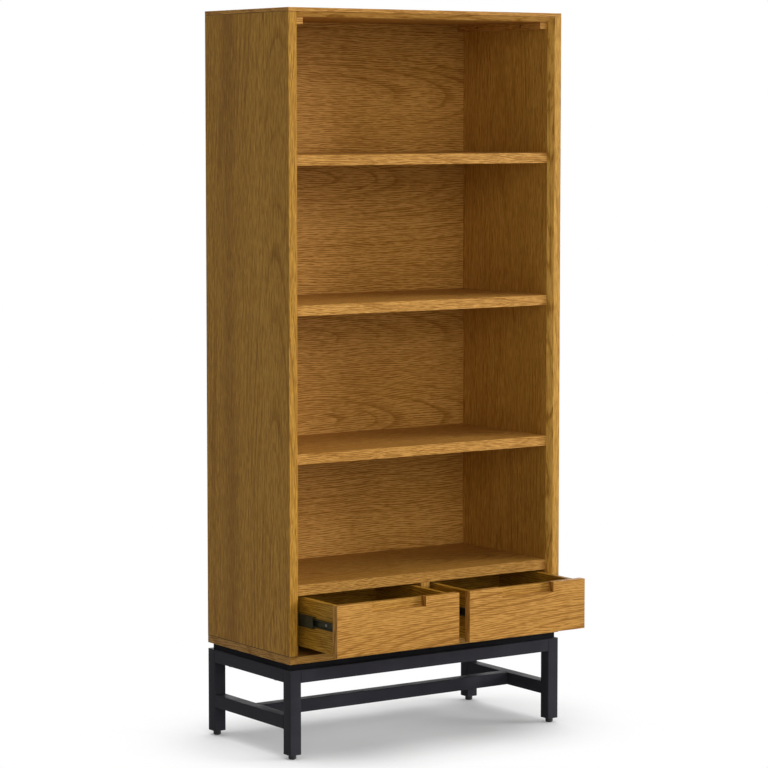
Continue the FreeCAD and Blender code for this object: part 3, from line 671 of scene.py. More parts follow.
def dressed_node(node: str, material: bpy.types.Material) -> None:
    """Give a CAD node that is shown as it is a better finish.

    Args:
        node: The CAD node.
        material: Its finish.
    """
    mesh = cad_node(node).data
    mesh.materials.clear()
    mesh.materials.append(material)
    log.info("%s keeps its shape and gets %s", node, material.name)


def baked(piece: bpy.types.Object) -> bpy.types.Object:
    """Turn what a piece's modifiers make into its own mesh and take the modifiers off.

    Args:
        piece: The piece with its modifiers.

    Returns:
        The same piece with a plain mesh.
    """
    graph = bpy.context.evaluated_depsgraph_get()
    mesh = bpy.data.meshes.new_from_object(piece.evaluated_get(graph))
    piece.modifiers.clear()
    mesh.name = piece.name
    piece.data = mesh
    return piece


def opened(*meshes: bpy.types.Mesh) -> bmesh.types.BMesh:
    """Open meshes together to work on them.

    Args:
        *meshes: The meshes.

    Returns:
        The mesh under way, with all of them in it.
    """
    shape = bmesh.new()
    for mesh in meshes:
        shape.from_mesh(mesh)
    return shape


def closed(shape: bmesh.types.BMesh, mesh: bpy.types.Mesh) -> bpy.types.Mesh:
    """Write a mesh under way into a finished one and free it.

    Args:
        shape: The mesh under way.
        mesh: The mesh to fill.

    Returns:
        The filled mesh.
    """
    shape.to_mesh(mesh)
    shape.free()
    return mesh


def merged_copy(node: str) -> bpy.types.Mesh:
    """Copy a node's mesh with its corners joined and its flat faces whole.

    Args:
        node: The CAD node.

    Returns:
        The copy.
    """
    shape = opened(cad_node(node).data)
    bmesh.ops.remove_doubles(shape, verts=shape.verts, dist=WELD)
    bmesh.ops.dissolve_limit(shape, angle_limit=FLAT_ANGLE, verts=shape.verts, edges=shape.edges)
    return closed(shape, bpy.data.meshes.new(node))


def shaded_round(mesh: bpy.types.Mesh) -> bpy.types.Mesh:
    """Shade a mesh round between its sharp edges.

    Args:
        mesh: The mesh.

    Returns:
        The same mesh.
    """
    for face in mesh.polygons:
        face.use_smooth = True
    mesh.set_sharp_from_angle(angle=SHARP_ANGLE)
    return mesh


def islands(mesh: bpy.types.Mesh) -> list[list[Vector]]:
    """Split a mesh into its separate solids.

    Args:
        mesh: A merged mesh of several solids.

    Returns:
        The corner places of each solid.
    """
    shape = opened(mesh)
    unseen = set(shape.verts)
    found = []
    for first in shape.verts:
        if first not in unseen:
            continue
        unseen.remove(first)
        queue, group = [first], []
        while queue:
            corner = queue.pop()
            group.append(corner.co.copy())
            for edge in corner.link_edges:
                other = edge.other_vert(corner)
                if other in unseen:
                    unseen.remove(other)
                    queue.append(other)
        found.append(group)
    shape.free()
    return found


def loft(shape: bmesh.types.BMesh, outlines: list[list[Triple]]) -> None:
    """Add a closed solid that runs through outlines with as many corners each.

    Args:
        shape: The mesh under way.
        outlines: The corners of each outline, anticlockwise and from the lowest up.
    """
    rings = [[shape.verts.new(place) for place in outline] for outline in outlines]
    for lower, upper in zip(rings, rings[1:]):
        for step, corner in enumerate(lower):
            after = (step + 1) % len(lower)
            shape.faces.new((corner, lower[after], upper[after], upper[step]))
    shape.faces.new(tuple(reversed(rings[0])))
    shape.faces.new(tuple(rings[-1]))


def point_mesh(name: str, places: list[Vector], ways: list[Vector]) -> bpy.types.Mesh:
    """Make a mesh of loose points, each with the way that something on it faces.

    Args:
        name: The mesh's name.
        places: Where the points are.
        ways: The way that each faces.

    Returns:
        The mesh, with the ways as an attribute.
    """
    mesh = bpy.data.meshes.new(name)
    mesh.from_pydata([tuple(place) for place in places], [], [])
    facing = mesh.attributes.new(FACING, "FLOAT_VECTOR", "POINT")
    facing.data.foreach_set("vector", [number for way in ways for number in way])
    return mesh


@dataclass(frozen=True)
class EasedBoard:
    """A board whose sharp edges are eased with fine paper, as a maker does before the lacquer.

    A face is an end where its normal runs along the grain by more than end_tilt. It is the eased edge of a
    joint, which gets painted shade, where it lies at the height of one of the seams and the Z of its normal
    is between the two of eased_tilt.
    """

    ease: float = 0.7 * MM
    steps: int = 2
    seams: tuple[float, ...] = ()
    end_tilt: float = 0.7
    eased_tilt: Pair = (0.1, 0.98)

    def build(self, node: str, material: bpy.types.Material, along: str = "") -> bpy.types.Object:
        """Make the eased board.

        Args:
            node: The CAD node that it stands for.
            material: Its finish.
            along: The axis of its grain, whose end faces get an edge band.

        Returns:
            The finished piece.
        """
        piece = new_piece(f"{node}_eased", merged_copy(node), material)
        bevel = piece.modifiers.new("eased_edges", "BEVEL")
        bevel.width = self.ease
        bevel.segments = self.steps
        bevel.limit_method = "ANGLE"
        bevel.angle_limit = EASED_ANGLE
        bevel.harden_normals = False
        baked(piece)
        self.keep_inside(piece.data, *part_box(node))
        self.mark(piece.data, along)
        return settle(piece, node)

    def veneered(self, node: str, finish: OakFinish) -> bpy.types.Object:
        """Make the eased board in oak, with its grain about the board's own middle."""
        return self.build(node, finish.material(middle_of(node)), finish.grain.value[0])

    @staticmethod
    def keep_inside(mesh: bpy.types.Mesh, low: Vector, high: Vector) -> None:
        """Hold every corner within the board's own box.

        Args:
            mesh: The eased mesh.
            low: The box's lowest corner.
            high: The box's highest corner.
        """
        for corner in mesh.vertices:
            for axis in range(3):
                corner.co[axis] = min(max(corner.co[axis], low[axis]), high[axis])

    def mark(self, mesh: bpy.types.Mesh, along: str) -> None:
        """Mark the banded ends of a board on its faces, and the joints that are darkened with painted shade.

        Args:
            mesh: The eased mesh.
            along: The axis of the grain.
        """
        ends = mesh.attributes.new(END_FACE, "FLOAT", "FACE")
        # Painted shade goes on the eased edges at the joints, where shade falls between the boards.
        shaded_joints = mesh.attributes.new(SHADED_SEAM, "FLOAT", "FACE")
        for face in mesh.polygons:
            banded = bool(along) and abs(face.normal["XYZ".index(along)]) > self.end_tilt
            eased = self.eased_tilt[0] < abs(face.normal.z) < self.eased_tilt[1]
            near = any(abs(face.center.z - shaded_seam) < self.ease for shaded_seam in self.seams)
            ends.data[face.index].value = float(banded)
            shaded_joints.data[face.index].value = float(eased and near)


class GeometryTree:
    """A Geometry Nodes tree with named inputs for its sizes."""

    def __init__(self, name: str, sizes: dict[str, float]) -> None:
        """Start a tree that takes a mesh and gives a mesh.

        Args:
            name: The tree's name.
            sizes: Its named inputs and their values.
        """
        self.tree = bpy.data.node_groups.new(name, "GeometryNodeTree")
        face = self.tree.interface
        face.new_socket("Geometry", in_out="INPUT", socket_type="NodeSocketGeometry")
        self.sizes = {}
        for size, value in sizes.items():
            socket = face.new_socket(size, in_out="INPUT", socket_type="NodeSocketFloat")
            self.sizes[socket.identifier] = value
        face.new_socket("Geometry", in_out="OUTPUT", socket_type="NodeSocketGeometry")
        self.graph = Graph(self.tree)
        self.given = self.graph.node("NodeGroupInput").outputs

    def raised(self, shape: Socket, height: object, turn: float = 0.0) -> Socket:
        """Raise a shape and turn it about the Z axis.

        Args:
            shape: The shape.
            height: How far it goes up.
            turn: How far it turns, in radians.

        Returns:
            The shape in its place.
        """
        rise = self.graph.combine(0.0, 0.0, height)
        inputs = {"Geometry": shape, "Translation": rise, "Rotation": (0.0, 0.0, turn)}
        return self.graph.node("GeometryNodeTransform", inputs).outputs[0]

    def rod(self, sides: int, top: object, bottom: object, depth: object, low: object) -> Socket:
        """Make a round or many-sided rod.

        Args:
            sides: How many sides it has.
            top: The radius of its top.
            bottom: The radius of its bottom.
            depth: How long it is.
            low: The height that it starts at.

        Returns:
            The rod.
        """
        inputs = {"Vertices": sides, "Radius Top": top, "Radius Bottom": bottom, "Depth": depth}
        made = self.graph.node("GeometryNodeMeshCone", inputs, fill_type="NGON")
        return self.raised(made.outputs["Mesh"], low)

    def joined(self, shapes: list[Socket]) -> Socket:
        """Join shapes in their order.

        Args:
            shapes: The shapes.

        Returns:
            All of them as one.
        """
        join = self.graph.node("GeometryNodeJoinGeometry")
        for shape in shapes:
            self.tree.links.new(shape, join.inputs[0])
        return join.outputs[0]

    def finish(self, shape: Socket, material: bpy.types.Material) -> None:
        """Set a shape on every point, turned from +Z to the way that the point faces, and end the tree.

        Args:
            shape: The shape to repeat.
            material: Its finish.
        """
        graph = self.graph
        facing = graph.node("GeometryNodeInputNamedAttribute", {"Name": FACING}, data_type="FLOAT_VECTOR")
        turn = graph.node("FunctionNodeAlignRotationToVector", {"Vector": facing.outputs[0]}, axis="Z")
        points = graph.node("GeometryNodeMeshToPoints", {0: self.given["Geometry"]})
        inputs = {"Points": points.outputs[0], "Instance": shape, "Rotation": turn.outputs[0]}
        placed = graph.node("GeometryNodeInstanceOnPoints", inputs)
        real = graph.node("GeometryNodeRealizeInstances", {0: placed.outputs[0]})
        painted = graph.node("GeometryNodeSetMaterial", {"Geometry": real.outputs[0], "Material": material})
        graph.node("NodeGroupOutput", {0: painted.outputs[0]})

    def grow_on(self, name: str, points: bpy.types.Mesh) -> bpy.types.Object:
        """Run the tree on a mesh of points.

        Args:
            name: The new piece's name.
            points: The points.

        Returns:
            The piece as a plain mesh, with its modifier taken off.
        """
        piece = new_object(name, points)
        modifier = piece.modifiers.new(name, "NODES")
        modifier.node_group = self.tree
        for identifier, value in self.sizes.items():
            modifier[identifier] = value
        return baked(piece)


# Fasteners


@dataclass(frozen=True)
class Fastener:
    """A screw or bolt with its head, its shank and what turns it.

    A field that ends in share is a share of the head's or the shank's own size.
    """

    head: HeadShape
    head_diameter: float
    head_height: float
    shank_diameter: float
    length: float
    point: float = 2.5 * MM
    tip_share: float = 0.25
    shank_sides: int = 14
    head_sides: int = 28
    pan_top_share: float = 0.72
    flat_foot_share: float = 0.62
    recess_width_share: float = 0.13
    recess_length_share: float = 0.56
    recess_height_share: float = 0.95
    wrench_height_share: float = 0.8
    crown_sides: int = 24
    crown_height_share: float = 0.2
    crown_foot_share: float = 0.96
    crown_top_share: float = 0.9

    def tree(self, name: str, material: bpy.types.Material) -> GeometryTree:
        """Build the tree that sets one fastener on every point, head towards the way it faces.

        Args:
            name: The tree's name.
            material: The fasteners' finish.

        Returns:
            The tree.
        """
        grown = GeometryTree(name, {
            "Head Diameter": self.head_diameter,
            "Head Height": self.head_height,
            "Shank Diameter": self.shank_diameter,
            "Length": self.length,
            "Point Length": self.point,
            "Recess Width": self.head_diameter * self.recess_width_share,
        })
        graph, given = grown.graph, grown.given
        radius = graph.times(given["Shank Diameter"], 0.5)
        straight = graph.minus(given["Length"], given["Point Length"])
        parts = self.hexagon(grown) if self.head is HeadShape.HEXAGON else [self.crossed(grown)]
        parts.append(grown.rod(self.shank_sides, radius, radius, straight, graph.times(straight, -1.0)))
        parts.append(grown.rod(self.shank_sides, radius, graph.times(radius, self.tip_share),
                               given["Point Length"], graph.times(given["Length"], -1.0)))
        grown.finish(grown.joined(parts), material)
        return grown

    def hexagon(self, grown: GeometryTree) -> list[Socket]:
        """Make a six-sided head with a round crown on it.

        Args:
            grown: The tree under way.

        Returns:
            The head's two parts.
        """
        graph, height = grown.graph, grown.given["Head Height"]
        radius = graph.times(grown.given["Head Diameter"], 0.5)
        wrench = graph.times(height, self.wrench_height_share)
        return [grown.rod(6, radius, radius, wrench, 0.0),
                grown.rod(self.crown_sides, graph.times(radius, self.crown_top_share),
                          graph.times(radius, self.crown_foot_share),
                          graph.times(height, self.crown_height_share), wrench)]

    def crossed(self, grown: GeometryTree) -> Socket:
        """Make a round head with a cross cut into it.

        Args:
            grown: The tree under way.

        Returns:
            The head.
        """
        graph, given = grown.graph, grown.given
        radius = graph.times(given["Head Diameter"], 0.5)
        flat = self.head is HeadShape.FLAT_CROSS
        top = radius if flat else graph.times(radius, self.pan_top_share)
        foot = graph.times(radius, self.flat_foot_share) if flat else radius
        size = graph.combine(graph.times(given["Head Diameter"], self.recess_length_share),
                             given["Recess Width"], given["Head Height"])
        bar = graph.node("GeometryNodeMeshCube", {"Size": size}).outputs["Mesh"]
        height = graph.times(given["Head Height"], self.recess_height_share)
        inputs = {"Mesh 1": grown.rod(self.head_sides, top, foot, given["Head Height"], 0.0),
                  "Mesh 2": grown.joined([grown.raised(bar, height, turn) for turn in (0.0, math.pi / 2)]),
                  "Self Intersection": True}
        cut = graph.node("GeometryNodeMeshBoolean", inputs, operation="DIFFERENCE", solver="EXACT")
        return cut.outputs["Mesh"]


@dataclass
class FastenerSet:
    """The screws or bolts of one CAD node, set where the node has them."""

    node: str
    head: HeadShape
    material: bpy.types.Material

    def build(self) -> bpy.types.Object:
        """Read each fastener's seat from the node and grow a real one there.

        Returns:
            The finished piece.
        """
        places, ways, sizes = [], [], ()
        for corners in islands(merged_copy(self.node)):
            low, high = spread(corners)
            span = high - low
            axis = max(range(3), key=lambda item: span[item])
            low_end = self.width([corner for corner in corners if corner[axis] < low[axis] + LEVEL_PLAY])
            high_end = self.width([corner for corner in corners if corner[axis] > high[axis] - LEVEL_PLAY])
            head_is_low = low_end > high_end
            levels = levels_of(corners, axis)
            seat = levels[1] if head_is_low else levels[-2]
            head_height = abs((low if head_is_low else high)[axis] - seat)
            place, way = (low + high) / 2, Vector((0.0, 0.0, 0.0))
            place[axis] = seat
            way[axis] = -1.0 if head_is_low else 1.0
            places.append(place)
            ways.append(way)
            sizes = (max(low_end, high_end), head_height, min(low_end, high_end), span[axis] - head_height)
        grown = Fastener(self.head, *sizes).tree(f"{self.node}_tree", self.material)
        return settle(grown.grow_on(f"{self.node}_turned", point_mesh(self.node, places, ways)), self.node)

    @staticmethod
    def width(corners: list[Vector]) -> float:
        """How wide one end of a fastener is, corner to corner."""
        low, high = spread(corners)
        return max(high - low)


# Carcass


@dataclass
class Carcass:
    """The oak case: its boards, the back panel, the cleats and what fastens them."""

    screw_steel: bpy.types.Material
    cleat_screw_steel: bpy.types.Material
    board: EasedBoard = field(default_factory=EasedBoard)
    joint_ease: float = 1.0 * MM
    shelves: tuple[str, ...] = ("drawer_deck", "lower_shelf", "middle_shelf", "upper_shelf")
    shelf_seed: float = 13.7
    shelf_seed_step: float = 2.3
    # Painted shade on the drawer deck, whose top is darker where the light only grazes it.
    deck_shade_tint: Triple = (0.88, 0.89, 0.84)
    jointed: tuple[str, ...] = ("top_panel", "bottom_panel", "left_side_panel", "right_side_panel")

    def finishes(self) -> dict[str, OakFinish]:
        """Choose each board's cut of veneer.

        Returns:
            The finish of each node.
        """
        chosen = {
            "top_panel": OakFinish("oak_top", Grain.SHELF, seed=3.1),
            # Painted shade: the left side is darkened and its blue taken down for the shade on that side.
            "left_side_panel": OakFinish("oak_left_side", Grain.UPRIGHT, seed=1.0, heart_depth=0.085,
                                         heart_side=0.06, slant=0.11, leaf_width=0.36, band_side=0.075,
                                         band_depth=0.30, painted_light_tint=(0.86, 0.87, 0.55)),
            # Painted light: the right side is brightened and made yellower for the light bounced onto its
            # inner face.
            "right_side_panel": OakFinish("oak_right_side", Grain.UPRIGHT, seed=5.3, heart_depth=0.07,
                                          heart_side=0.20, slant=0.06, leaf_width=0.36, fibre_depth=0.8,
                                          ring_depth=0.3, painted_light_tint=(1.03, 1.10, 0.96)),
            # Painted shade: the bottom is darkened for the shade that the drawers cast on its front edge.
            "bottom_panel": OakFinish("oak_bottom", Grain.SHELF, seed=7.7, painted_light_tint=(0.79, 0.83, 0.86)),
            # Painted shade: the divider is darkened for the shade between the drawers.
            "drawer_divider": OakFinish("oak_divider", Grain.UPRIGHT, seed=2.9, painted_light_tint=(0.84, 0.86, 0.74)),
            "back_panel": OakFinish("oak_back", Grain.CROSSWISE, seed=11.3, heart_depth=0.030,
                                    heart_side=0.10, slant=0.16, leaf_width=0.29, ring_depth=0.40),
            "left_top_cleat": OakFinish("oak_left_cleat", Grain.CLEAT, seed=4.2),
            "right_top_cleat": OakFinish("oak_right_cleat", Grain.CLEAT, seed=6.4),
        }
        for index, name in enumerate(self.shelves):
            seed = self.shelf_seed + self.shelf_seed_step * index
            chosen[name] = OakFinish(f"oak_{name}", Grain.SHELF, seed=seed, fibre_depth=1.2)
        chosen["drawer_deck"] = replace(chosen["drawer_deck"], painted_light_tint=self.deck_shade_tint)
        return chosen

    def build(self) -> None:
        """Make every board and its fasteners."""
        low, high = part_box("left_side_panel")
        # The top, bottom and side panels are eased more at their joints, and their eased edges at the top and
        # bottom joints get painted shade.
        jointed = EasedBoard(self.joint_ease, self.board.steps, (low[2], high[2]))
        for node, finish in self.finishes().items():
            board = jointed if node in self.jointed else self.board
            board.veneered(node, finish)
        beech = OakFinish("beech_dowels", Grain.UPRIGHT, dark=(0.45, 0.30, 0.16), middle=(0.58, 0.40, 0.22),
                          light=(0.66, 0.48, 0.29), pore=(0.35, 0.22, 0.12), pore_share=0.3)
        dressed_node("wood_dowels", beech.material(middle_of("wood_dowels")))
        FastenerSet("back_panel_screws", HeadShape.PAN_CROSS, self.screw_steel).build()
        FastenerSet("cleat_screws", HeadShape.PAN_CROSS, self.cleat_screw_steel).build()


# Steel base


@dataclass
class SteelBase:
    """The welded square-tube base with its feet, and the dark board that the case stands on.

    The foot's groove is given as shares of its height and of its radius.
    """

    bolt_steel: bpy.types.Material
    plinth_ease: float = 0.5 * MM
    foot_diameter: float = 18 * MM
    foot_bevel: float = 2 * MM
    foot_sides: int = 48
    groove_heights: tuple[float, ...] = (0.55, 0.58, 0.66, 0.69)
    groove_radius: float = 0.97
    tube_corner: float = 2.5 * MM
    plug_corner: float = 1 * MM
    plug_play: float = 0.1 * MM
    corner_steps: int = 6
    tubes: tuple[str, ...] = (
        "base_front_rail", "base_back_rail", "base_left_rail", "base_right_rail",
        "front_left_leg", "front_right_leg", "back_left_leg", "back_right_leg",
        "left_stretcher", "right_stretcher", "centre_stretcher",
    )

    def build(self) -> None:
        """Dress the tubes and the plinth board, turn the feet and set the bolts."""
        coat = PowderCoat().material()
        for tube in self.tubes:
            settle(new_piece(f"{tube}_coated", shaded_round(merged_copy(tube)), coat), tube)
        paint = PlainFinish("black_painted_board", (0.010, 0.010, 0.011), (0.014, 0.014, 0.016),
                            roughness=(0.7, 0.85), specular=0.02, surface=(260.0, 260.0, 260.0))
        EasedBoard(self.plinth_ease).build("plinth_board", paint.material())
        self.feet(PlainFinish("black_nylon", (0.008, 0.008, 0.009), (0.014, 0.014, 0.015)).material())
        FastenerSet("base_bolts", HeadShape.HEXAGON, self.bolt_steel).build()

    def feet(self, nylon: bpy.types.Material) -> bpy.types.Object:
        """Turn the four feet, each with the square flange that closes its leg and the plug inside it.

        Args:
            nylon: The feet's finish.

        Returns:
            The finished piece.
        """
        shape = bmesh.new()
        for corners in islands(merged_copy("leg_feet")):
            low, high = spread(corners)
            _, foot_top, flange_top = levels_of(corners, 2)[:3]
            plug = spread([corner for corner in corners if corner.z > flange_top + self.plug_play])
            loft(shape, self.turned_foot((low + high) / 2, foot_top))
            loft(shape, self.plate(low, high, foot_top, flange_top, self.tube_corner))
            loft(shape, self.plate(*plug, flange_top, high.z, self.plug_corner))
        bmesh.ops.recalc_face_normals(shape, faces=shape.faces)
        mesh = closed(shape, bpy.data.meshes.new("leg_feet"))
        return settle(new_piece("leg_feet_turned", shaded_round(mesh), nylon), "leg_feet")

    def turned_foot(self, centre: Vector, top: float) -> list[list[Triple]]:
        """Draw a round foot with a bevelled bottom and a shallow groove.

        Args:
            centre: The foot's middle, of which X and Y count.
            top: How high the foot is.

        Returns:
            Its outlines, from the lowest up.
        """
        radius = self.foot_diameter / 2
        groove = radius * self.groove_radius
        reaches = (radius - self.foot_bevel, radius, radius, groove, groove, radius, radius)
        heights = (0.0, self.foot_bevel, *(top * share for share in self.groove_heights), top)
        angles = [2 * math.pi * step / self.foot_sides for step in range(self.foot_sides)]
        return [[(centre.x + reach * math.cos(angle), centre.y + reach * math.sin(angle), height)
                 for angle in angles] for reach, height in zip(reaches, heights)]

    def plate(self, low: Vector, high: Vector, bottom: float, top: float,
              corner: float) -> list[list[Triple]]:
        """Draw a square plate with rounded corners.

        Args:
            low: The plate's lowest corner, of which X and Y count.
            high: The plate's highest corner, of which X and Y count.
            bottom: Its lower level.
            top: Its upper level.
            corner: The radius of its corners.

        Returns:
            Its lower and its upper outline.
        """
        outline = []
        for index, (x, y) in enumerate(((high.x, high.y), (low.x, high.y), (low.x, low.y), (high.x, low.y))):
            middle_x = x - math.copysign(corner, x - (low.x + high.x) / 2)
            middle_y = y - math.copysign(corner, y - (low.y + high.y) / 2)
            for step in range(self.corner_steps + 1):
                angle = math.pi / 2 * (index + step / self.corner_steps)
                outline.append((middle_x + corner * math.cos(angle), middle_y + corner * math.sin(angle)))
        return [[(x, y, level) for x, y in outline] for level in (bottom, top)]


# Drawers and slides


@dataclass
class Drawer:
    """One drawer: its false front, its box, whose boards carry painted shade, and its screws."""

    side: str
    seed: float
    screw_steel: bpy.types.Material
    slide_screw_steel: bpy.types.Material
    board: EasedBoard = field(default_factory=EasedBoard)
    letter_seed: float = 0.7
    bottom_seed: float = 9.0
    # Painted shade: the drawer box's boards are darkened and their blue taken down for the shade inside the
    # drawer.
    box_shade_tint: Triple = (0.82, 0.84, 0.42)
    box_front_shade_tint: Triple = (0.88, 0.90, 0.74)

    def build(self) -> None:
        """Make the drawer's boards and screws."""
        front = OakFinish(f"oak_{self.side}_front", Grain.CROSSWISE, seed=self.seed, heart_depth=0.060,
                          heart_side=0.05, slant=-0.22, ring_depth=0.90, fibre_depth=0.80)
        self.board.veneered(f"{self.side}_drawer_front", front)
        for part, grain in (("box_front", Grain.CROSSWISE), ("box_back", Grain.CROSSWISE),
                            ("box_left_side", Grain.DRAWER_SIDE), ("box_right_side", Grain.DRAWER_SIDE)):
            name = f"{self.side}_{part}"
            seed = self.seed + len(part) * self.letter_seed
            # Painted shade on the box's boards, a little less on its front.
            painted_light_tint = self.box_front_shade_tint if part == "box_front" else self.box_shade_tint
            self.board.veneered(name, OakFinish(f"oak_{name}", grain, seed=seed, painted_light_tint=painted_light_tint))
        # Painted shade: the box bottom gets a much darker oak for the shade inside the drawer.
        name = f"{self.side}_box_bottom"
        bottom = OakFinish(f"oak_{name}", Grain.SHELF, seed=self.seed + self.bottom_seed,
                           dark=(0.110, 0.060, 0.006), middle=(0.170, 0.096, 0.012),
                           light=(0.230, 0.130, 0.020))
        self.board.veneered(name, bottom)
        FastenerSet(f"{self.side}_front_screws", HeadShape.PAN_CROSS, self.screw_steel).build()
        FastenerSet(f"{self.side}_slide_screws", HeadShape.FLAT_CROSS, self.slide_screw_steel).build()


@dataclass
class BallSlides:
    """The slides of one drawer: rolled members with cages of real round balls between them.

    A ball of the CAD is known by its box, which is shorter than size_share of a diameter. Its corners are
    those within reach_share of a diameter of its middle.
    """

    side: str
    channel_steel: bpy.types.Material
    cage_steel: bpy.types.Material
    ball_diameter: float = 3.5 * MM
    ball_segments: int = 20
    ball_rings: int = 12
    size_share: float = 1.2
    reach_share: float = 0.6

    def build(self) -> None:
        """Dress the members and fill the cages."""
        for member in ("cabinet", "middle", "drawer"):
            node = f"{self.side}_{member}_members"
            mesh = shaded_round(merged_copy(node))
            settle(new_piece(f"{node}_rolled", mesh, self.channel_steel), node)
        for level in ("outer", "inner"):
            self.cage(f"{self.side}_{level}_ball_cages")

    def cage(self, node: str) -> bpy.types.Object:
        """Make one level of cages: the strips as they are, and round balls in their windows.

        Args:
            node: The CAD node of the cages and their balls.

        Returns:
            The finished piece.
        """
        strips = merged_copy(node)
        boxes = [spread(corners) for corners in islands(strips)]
        longest, reach = self.size_share * self.ball_diameter, self.reach_share * self.ball_diameter
        balls = [(low + high) / 2 for low, high in boxes if max(high - low) < longest]
        shape = opened(strips)
        near = [corner for corner in shape.verts if any((corner.co - ball).length < reach for ball in balls)]
        whole = [corner for corner in near
                 if all(edge.other_vert(corner) in near for edge in corner.link_edges)]
        bmesh.ops.delete(shape, geom=whole, context="VERTS")
        closed(shape, strips)
        up = Vector((0.0, 0.0, 1.0))
        rolled = self.ball_tree(f"{node}_tree").grow_on(
            f"{node}_balls", point_mesh(node, balls, [up] * len(balls)))
        filled = closed(opened(strips, rolled.data), bpy.data.meshes.new(node))
        bpy.data.objects.remove(rolled)
        return settle(new_piece(f"{node}_filled", filled, self.cage_steel), node)

    def ball_tree(self, name: str) -> GeometryTree:
        """Build the tree that sets a smooth ball on every point.

        Args:
            name: The tree's name.

        Returns:
            The tree.
        """
        grown = GeometryTree(name, {"Ball Diameter": self.ball_diameter})
        inputs = {"Segments": self.ball_segments, "Rings": self.ball_rings,
                  "Radius": grown.graph.times(grown.given["Ball Diameter"], 0.5)}
        ball = grown.graph.node("GeometryNodeMeshUVSphere", inputs).outputs["Mesh"]
        smooth = grown.graph.node("GeometryNodeSetShadeSmooth", {0: ball}).outputs[0]
        grown.finish(smooth, self.cage_steel)
        return grown


# Studio


def look_along(turn: float, tilt: float) -> Vector:
    """The way that is turned to the right of +Y and tilted down, both in radians."""
    return Vector((math.sin(turn) * math.cos(tilt), math.cos(turn) * math.cos(tilt), -math.sin(tilt)))


def mount(name: str, data: bpy.types.ID, place: Vector | Triple, way: Vector) -> bpy.types.Object:
    """Mount a lamp or a camera.

    Args:
        name: Its name.
        data: Its light or camera data.
        place: Where it is.
        way: The way that it looks.

    Returns:
        The object.
    """
    mounted = new_object(name, data)
    mounted.location = place
    mounted.rotation_mode = "QUATERNION"
    mounted.rotation_quaternion = way.to_track_quat("-Z", "Y")
    return mounted


@dataclass(frozen=True)
class Lamp:
    """A large soft lamp far away: where it hangs, how wide it looks and how bright it lights."""

    name: str
    azimuth: float
    elevation: float
    width: float
    level: float
    distance: float = 4.0

    def hang(self) -> bpy.types.Object:
        """Add the lamp to the scene.

        Returns:
            The lamp. A white face turned to it at a level of 1 looks white.
        """
        data = bpy.data.lights.new(self.name, "SUN")
        data.angle = math.radians(self.width)
        data.energy = self.level * math.pi
        way = look_along(-math.radians(self.azimuth), math.radians(self.elevation))
        log.info("%s hangs %.0f degrees to the right and %.0f up", self.name, self.azimuth, self.elevation)
        return mount(self.name, data, -way * self.distance, way)


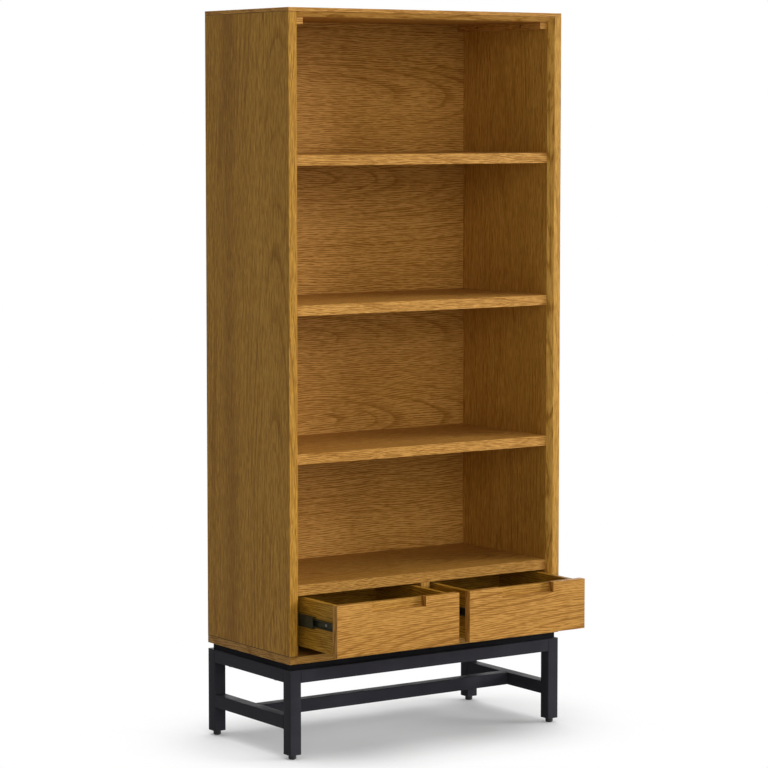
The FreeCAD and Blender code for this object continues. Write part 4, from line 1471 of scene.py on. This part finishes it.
@dataclass(frozen=True)
class Studio:
    """The pale floor, the soft light and the camera. Lamp azimuths count from the open front to the right."""

    camera_place: Triple = (-3.9264, -5.6440, 1.4539)
    camera_turn: float = math.radians(34.486)
    camera_tilt: float = math.radians(4.81)
    camera_reach: float = 100.0
    lens_in_pixels: float = 2966.7
    image_width: float = 768.0
    sensor: float = 36.0
    shift: Pair = (-0.0008, -0.0288)
    floor_size: float = 60.0
    floor_colour: Triple = (0.72, 0.72, 0.72)
    floor_glow: float = 0.20
    shadow_reach: float = 0.32
    shadow_range: Pair = (0.95, 0.45)
    shadow_samples: int = 16
    sky_level: float = 0.10
    lamps: tuple[Lamp, ...] = (
        Lamp("right_softbox", 58.0, 11.0, 30.0, 0.86),
        Lamp("left_softbox", -30.0, 10.0, 40.0, 0.20),
        Lamp("front_softbox", 4.0, 17.0, 40.0, 0.19),
        Lamp("top_softbox", 0.0, 78.0, 40.0, 0.27),
        Lamp("rear_softbox", 150.0, 25.0, 40.0, 0.20),
    )

    def build(self) -> None:
        """Make the floor, the light and the camera."""
        self.floor()
        self.sky()
        for lamp in self.lamps:
            lamp.hang()
        self.camera()
        bpy.context.scene.view_settings.view_transform = "Standard"

    def floor(self) -> None:
        """Lay the floor, which is white to the camera apart from the bookcase's own soft shadow."""
        half = self.floor_size / 2
        corners = [(x * half, y * half, 0.0) for x, y in ((-1, -1), (1, -1), (1, 1), (-1, 1))]
        mesh = bpy.data.meshes.new("floor")
        mesh.from_pydata(corners, [], [(0, 1, 2, 3)])
        material = bpy.data.materials.new("floor_white")
        graph = cleared(material)
        plain = graph.node("ShaderNodeBsdfDiffuse", {"Color": (*self.floor_colour, 1.0)}).outputs[0]
        white = graph.node("ShaderNodeEmission").outputs[0]
        glow = graph.node("ShaderNodeEmission", {"Strength": self.floor_glow}).outputs[0]
        shaded = graph.node("ShaderNodeAddShader", {0: plain, 1: glow}).outputs[0]
        cover = graph.node("ShaderNodeAmbientOcclusion", {"Distance": self.shadow_reach},
                           samples=self.shadow_samples)
        shadow = graph.remap(cover.outputs["AO"], *self.shadow_range)
        seen = graph.node("ShaderNodeMixShader", {"Fac": shadow, 1: white, 2: shaded}).outputs[0]
        mixed = graph.node("ShaderNodeMixShader", {"Fac": self.seen_rays(graph), 1: plain, 2: seen})
        graph.node("ShaderNodeOutputMaterial", {"Surface": mixed.outputs[0]})
        new_piece("floor", mesh, material)

    @staticmethod
    def seen_rays(graph: Graph) -> Socket:
        """Tell rays that the camera, a gloss or a glass sends from those that carry light.

        Args:
            graph: The tree's graph.

        Returns:
            1 for a seen ray and 0 for any other.
        """
        path = graph.node("ShaderNodeLightPath").outputs
        seen = graph.math("MAXIMUM", path["Is Camera Ray"], path["Is Glossy Ray"])
        return graph.math("MAXIMUM", seen, path["Is Transmission Ray"])

    def sky(self) -> None:
        """Light from all round, which looks white where it is seen."""
        world = bpy.data.worlds.new("studio")
        bpy.context.scene.world = world
        graph = cleared(world)
        level = graph.remap(self.seen_rays(graph), 0.0, 1.0, self.sky_level)
        light = graph.node("ShaderNodeBackground", {"Color": (1.0, 1.0, 1.0, 1.0), "Strength": level})
        graph.node("ShaderNodeOutputWorld", {"Surface": light.outputs[0]})

    def camera(self) -> None:
        """Place the camera a little above eye level, left of the front."""
        data = bpy.data.cameras.new("camera")
        data.sensor_width = self.sensor
        data.lens = self.lens_in_pixels / self.image_width * self.sensor
        data.shift_x, data.shift_y = self.shift
        data.clip_end = self.camera_reach
        way = look_along(self.camera_turn, self.camera_tilt)
        bpy.context.scene.camera = mount("camera", data, self.camera_place, way)


def main() -> None:
    """Dress the bookcase piece by piece and set up the studio."""
    logging.basicConfig(level=logging.INFO, format="%(name)s: %(message)s")
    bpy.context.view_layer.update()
    zinc = SteelFinish("zinc_plated_steel", (0.55, 0.55, 0.53), (0.42, 0.42, 0.41)).material()
    dark_zinc = SteelFinish("dark_zinc_screws", (0.16, 0.16, 0.14), (0.11, 0.11, 0.10),
                            roughness=(0.35, 0.5)).material()
    bronzed = SteelFinish("bronzed_screws", (0.17, 0.085, 0.030), (0.11, 0.055, 0.018),
                          roughness=(0.40, 0.55), metallic=0.5, specular=0.2).material()
    channel = SteelFinish("black_slide_steel", (0.030, 0.028, 0.014), (0.046, 0.042, 0.020),
                          roughness=(0.42, 0.58), metallic=0.4, specular=0.08).material()
    cage = SteelFinish("bright_cage_steel", (0.50, 0.50, 0.50), (0.38, 0.38, 0.38)).material()
    Carcass(zinc, bronzed).build()
    SteelBase(zinc).build()
    for side, seed in (("left", 17.0), ("right", 23.0)):
        Drawer(side, seed, zinc, dark_zinc).build()
        BallSlides(side, channel, cage).build()
    FastenerSet("cabinet_slide_screws", HeadShape.FLAT_CROSS, dark_zinc).build()
    Studio().build()


if __name__ == "__main__":
    main()
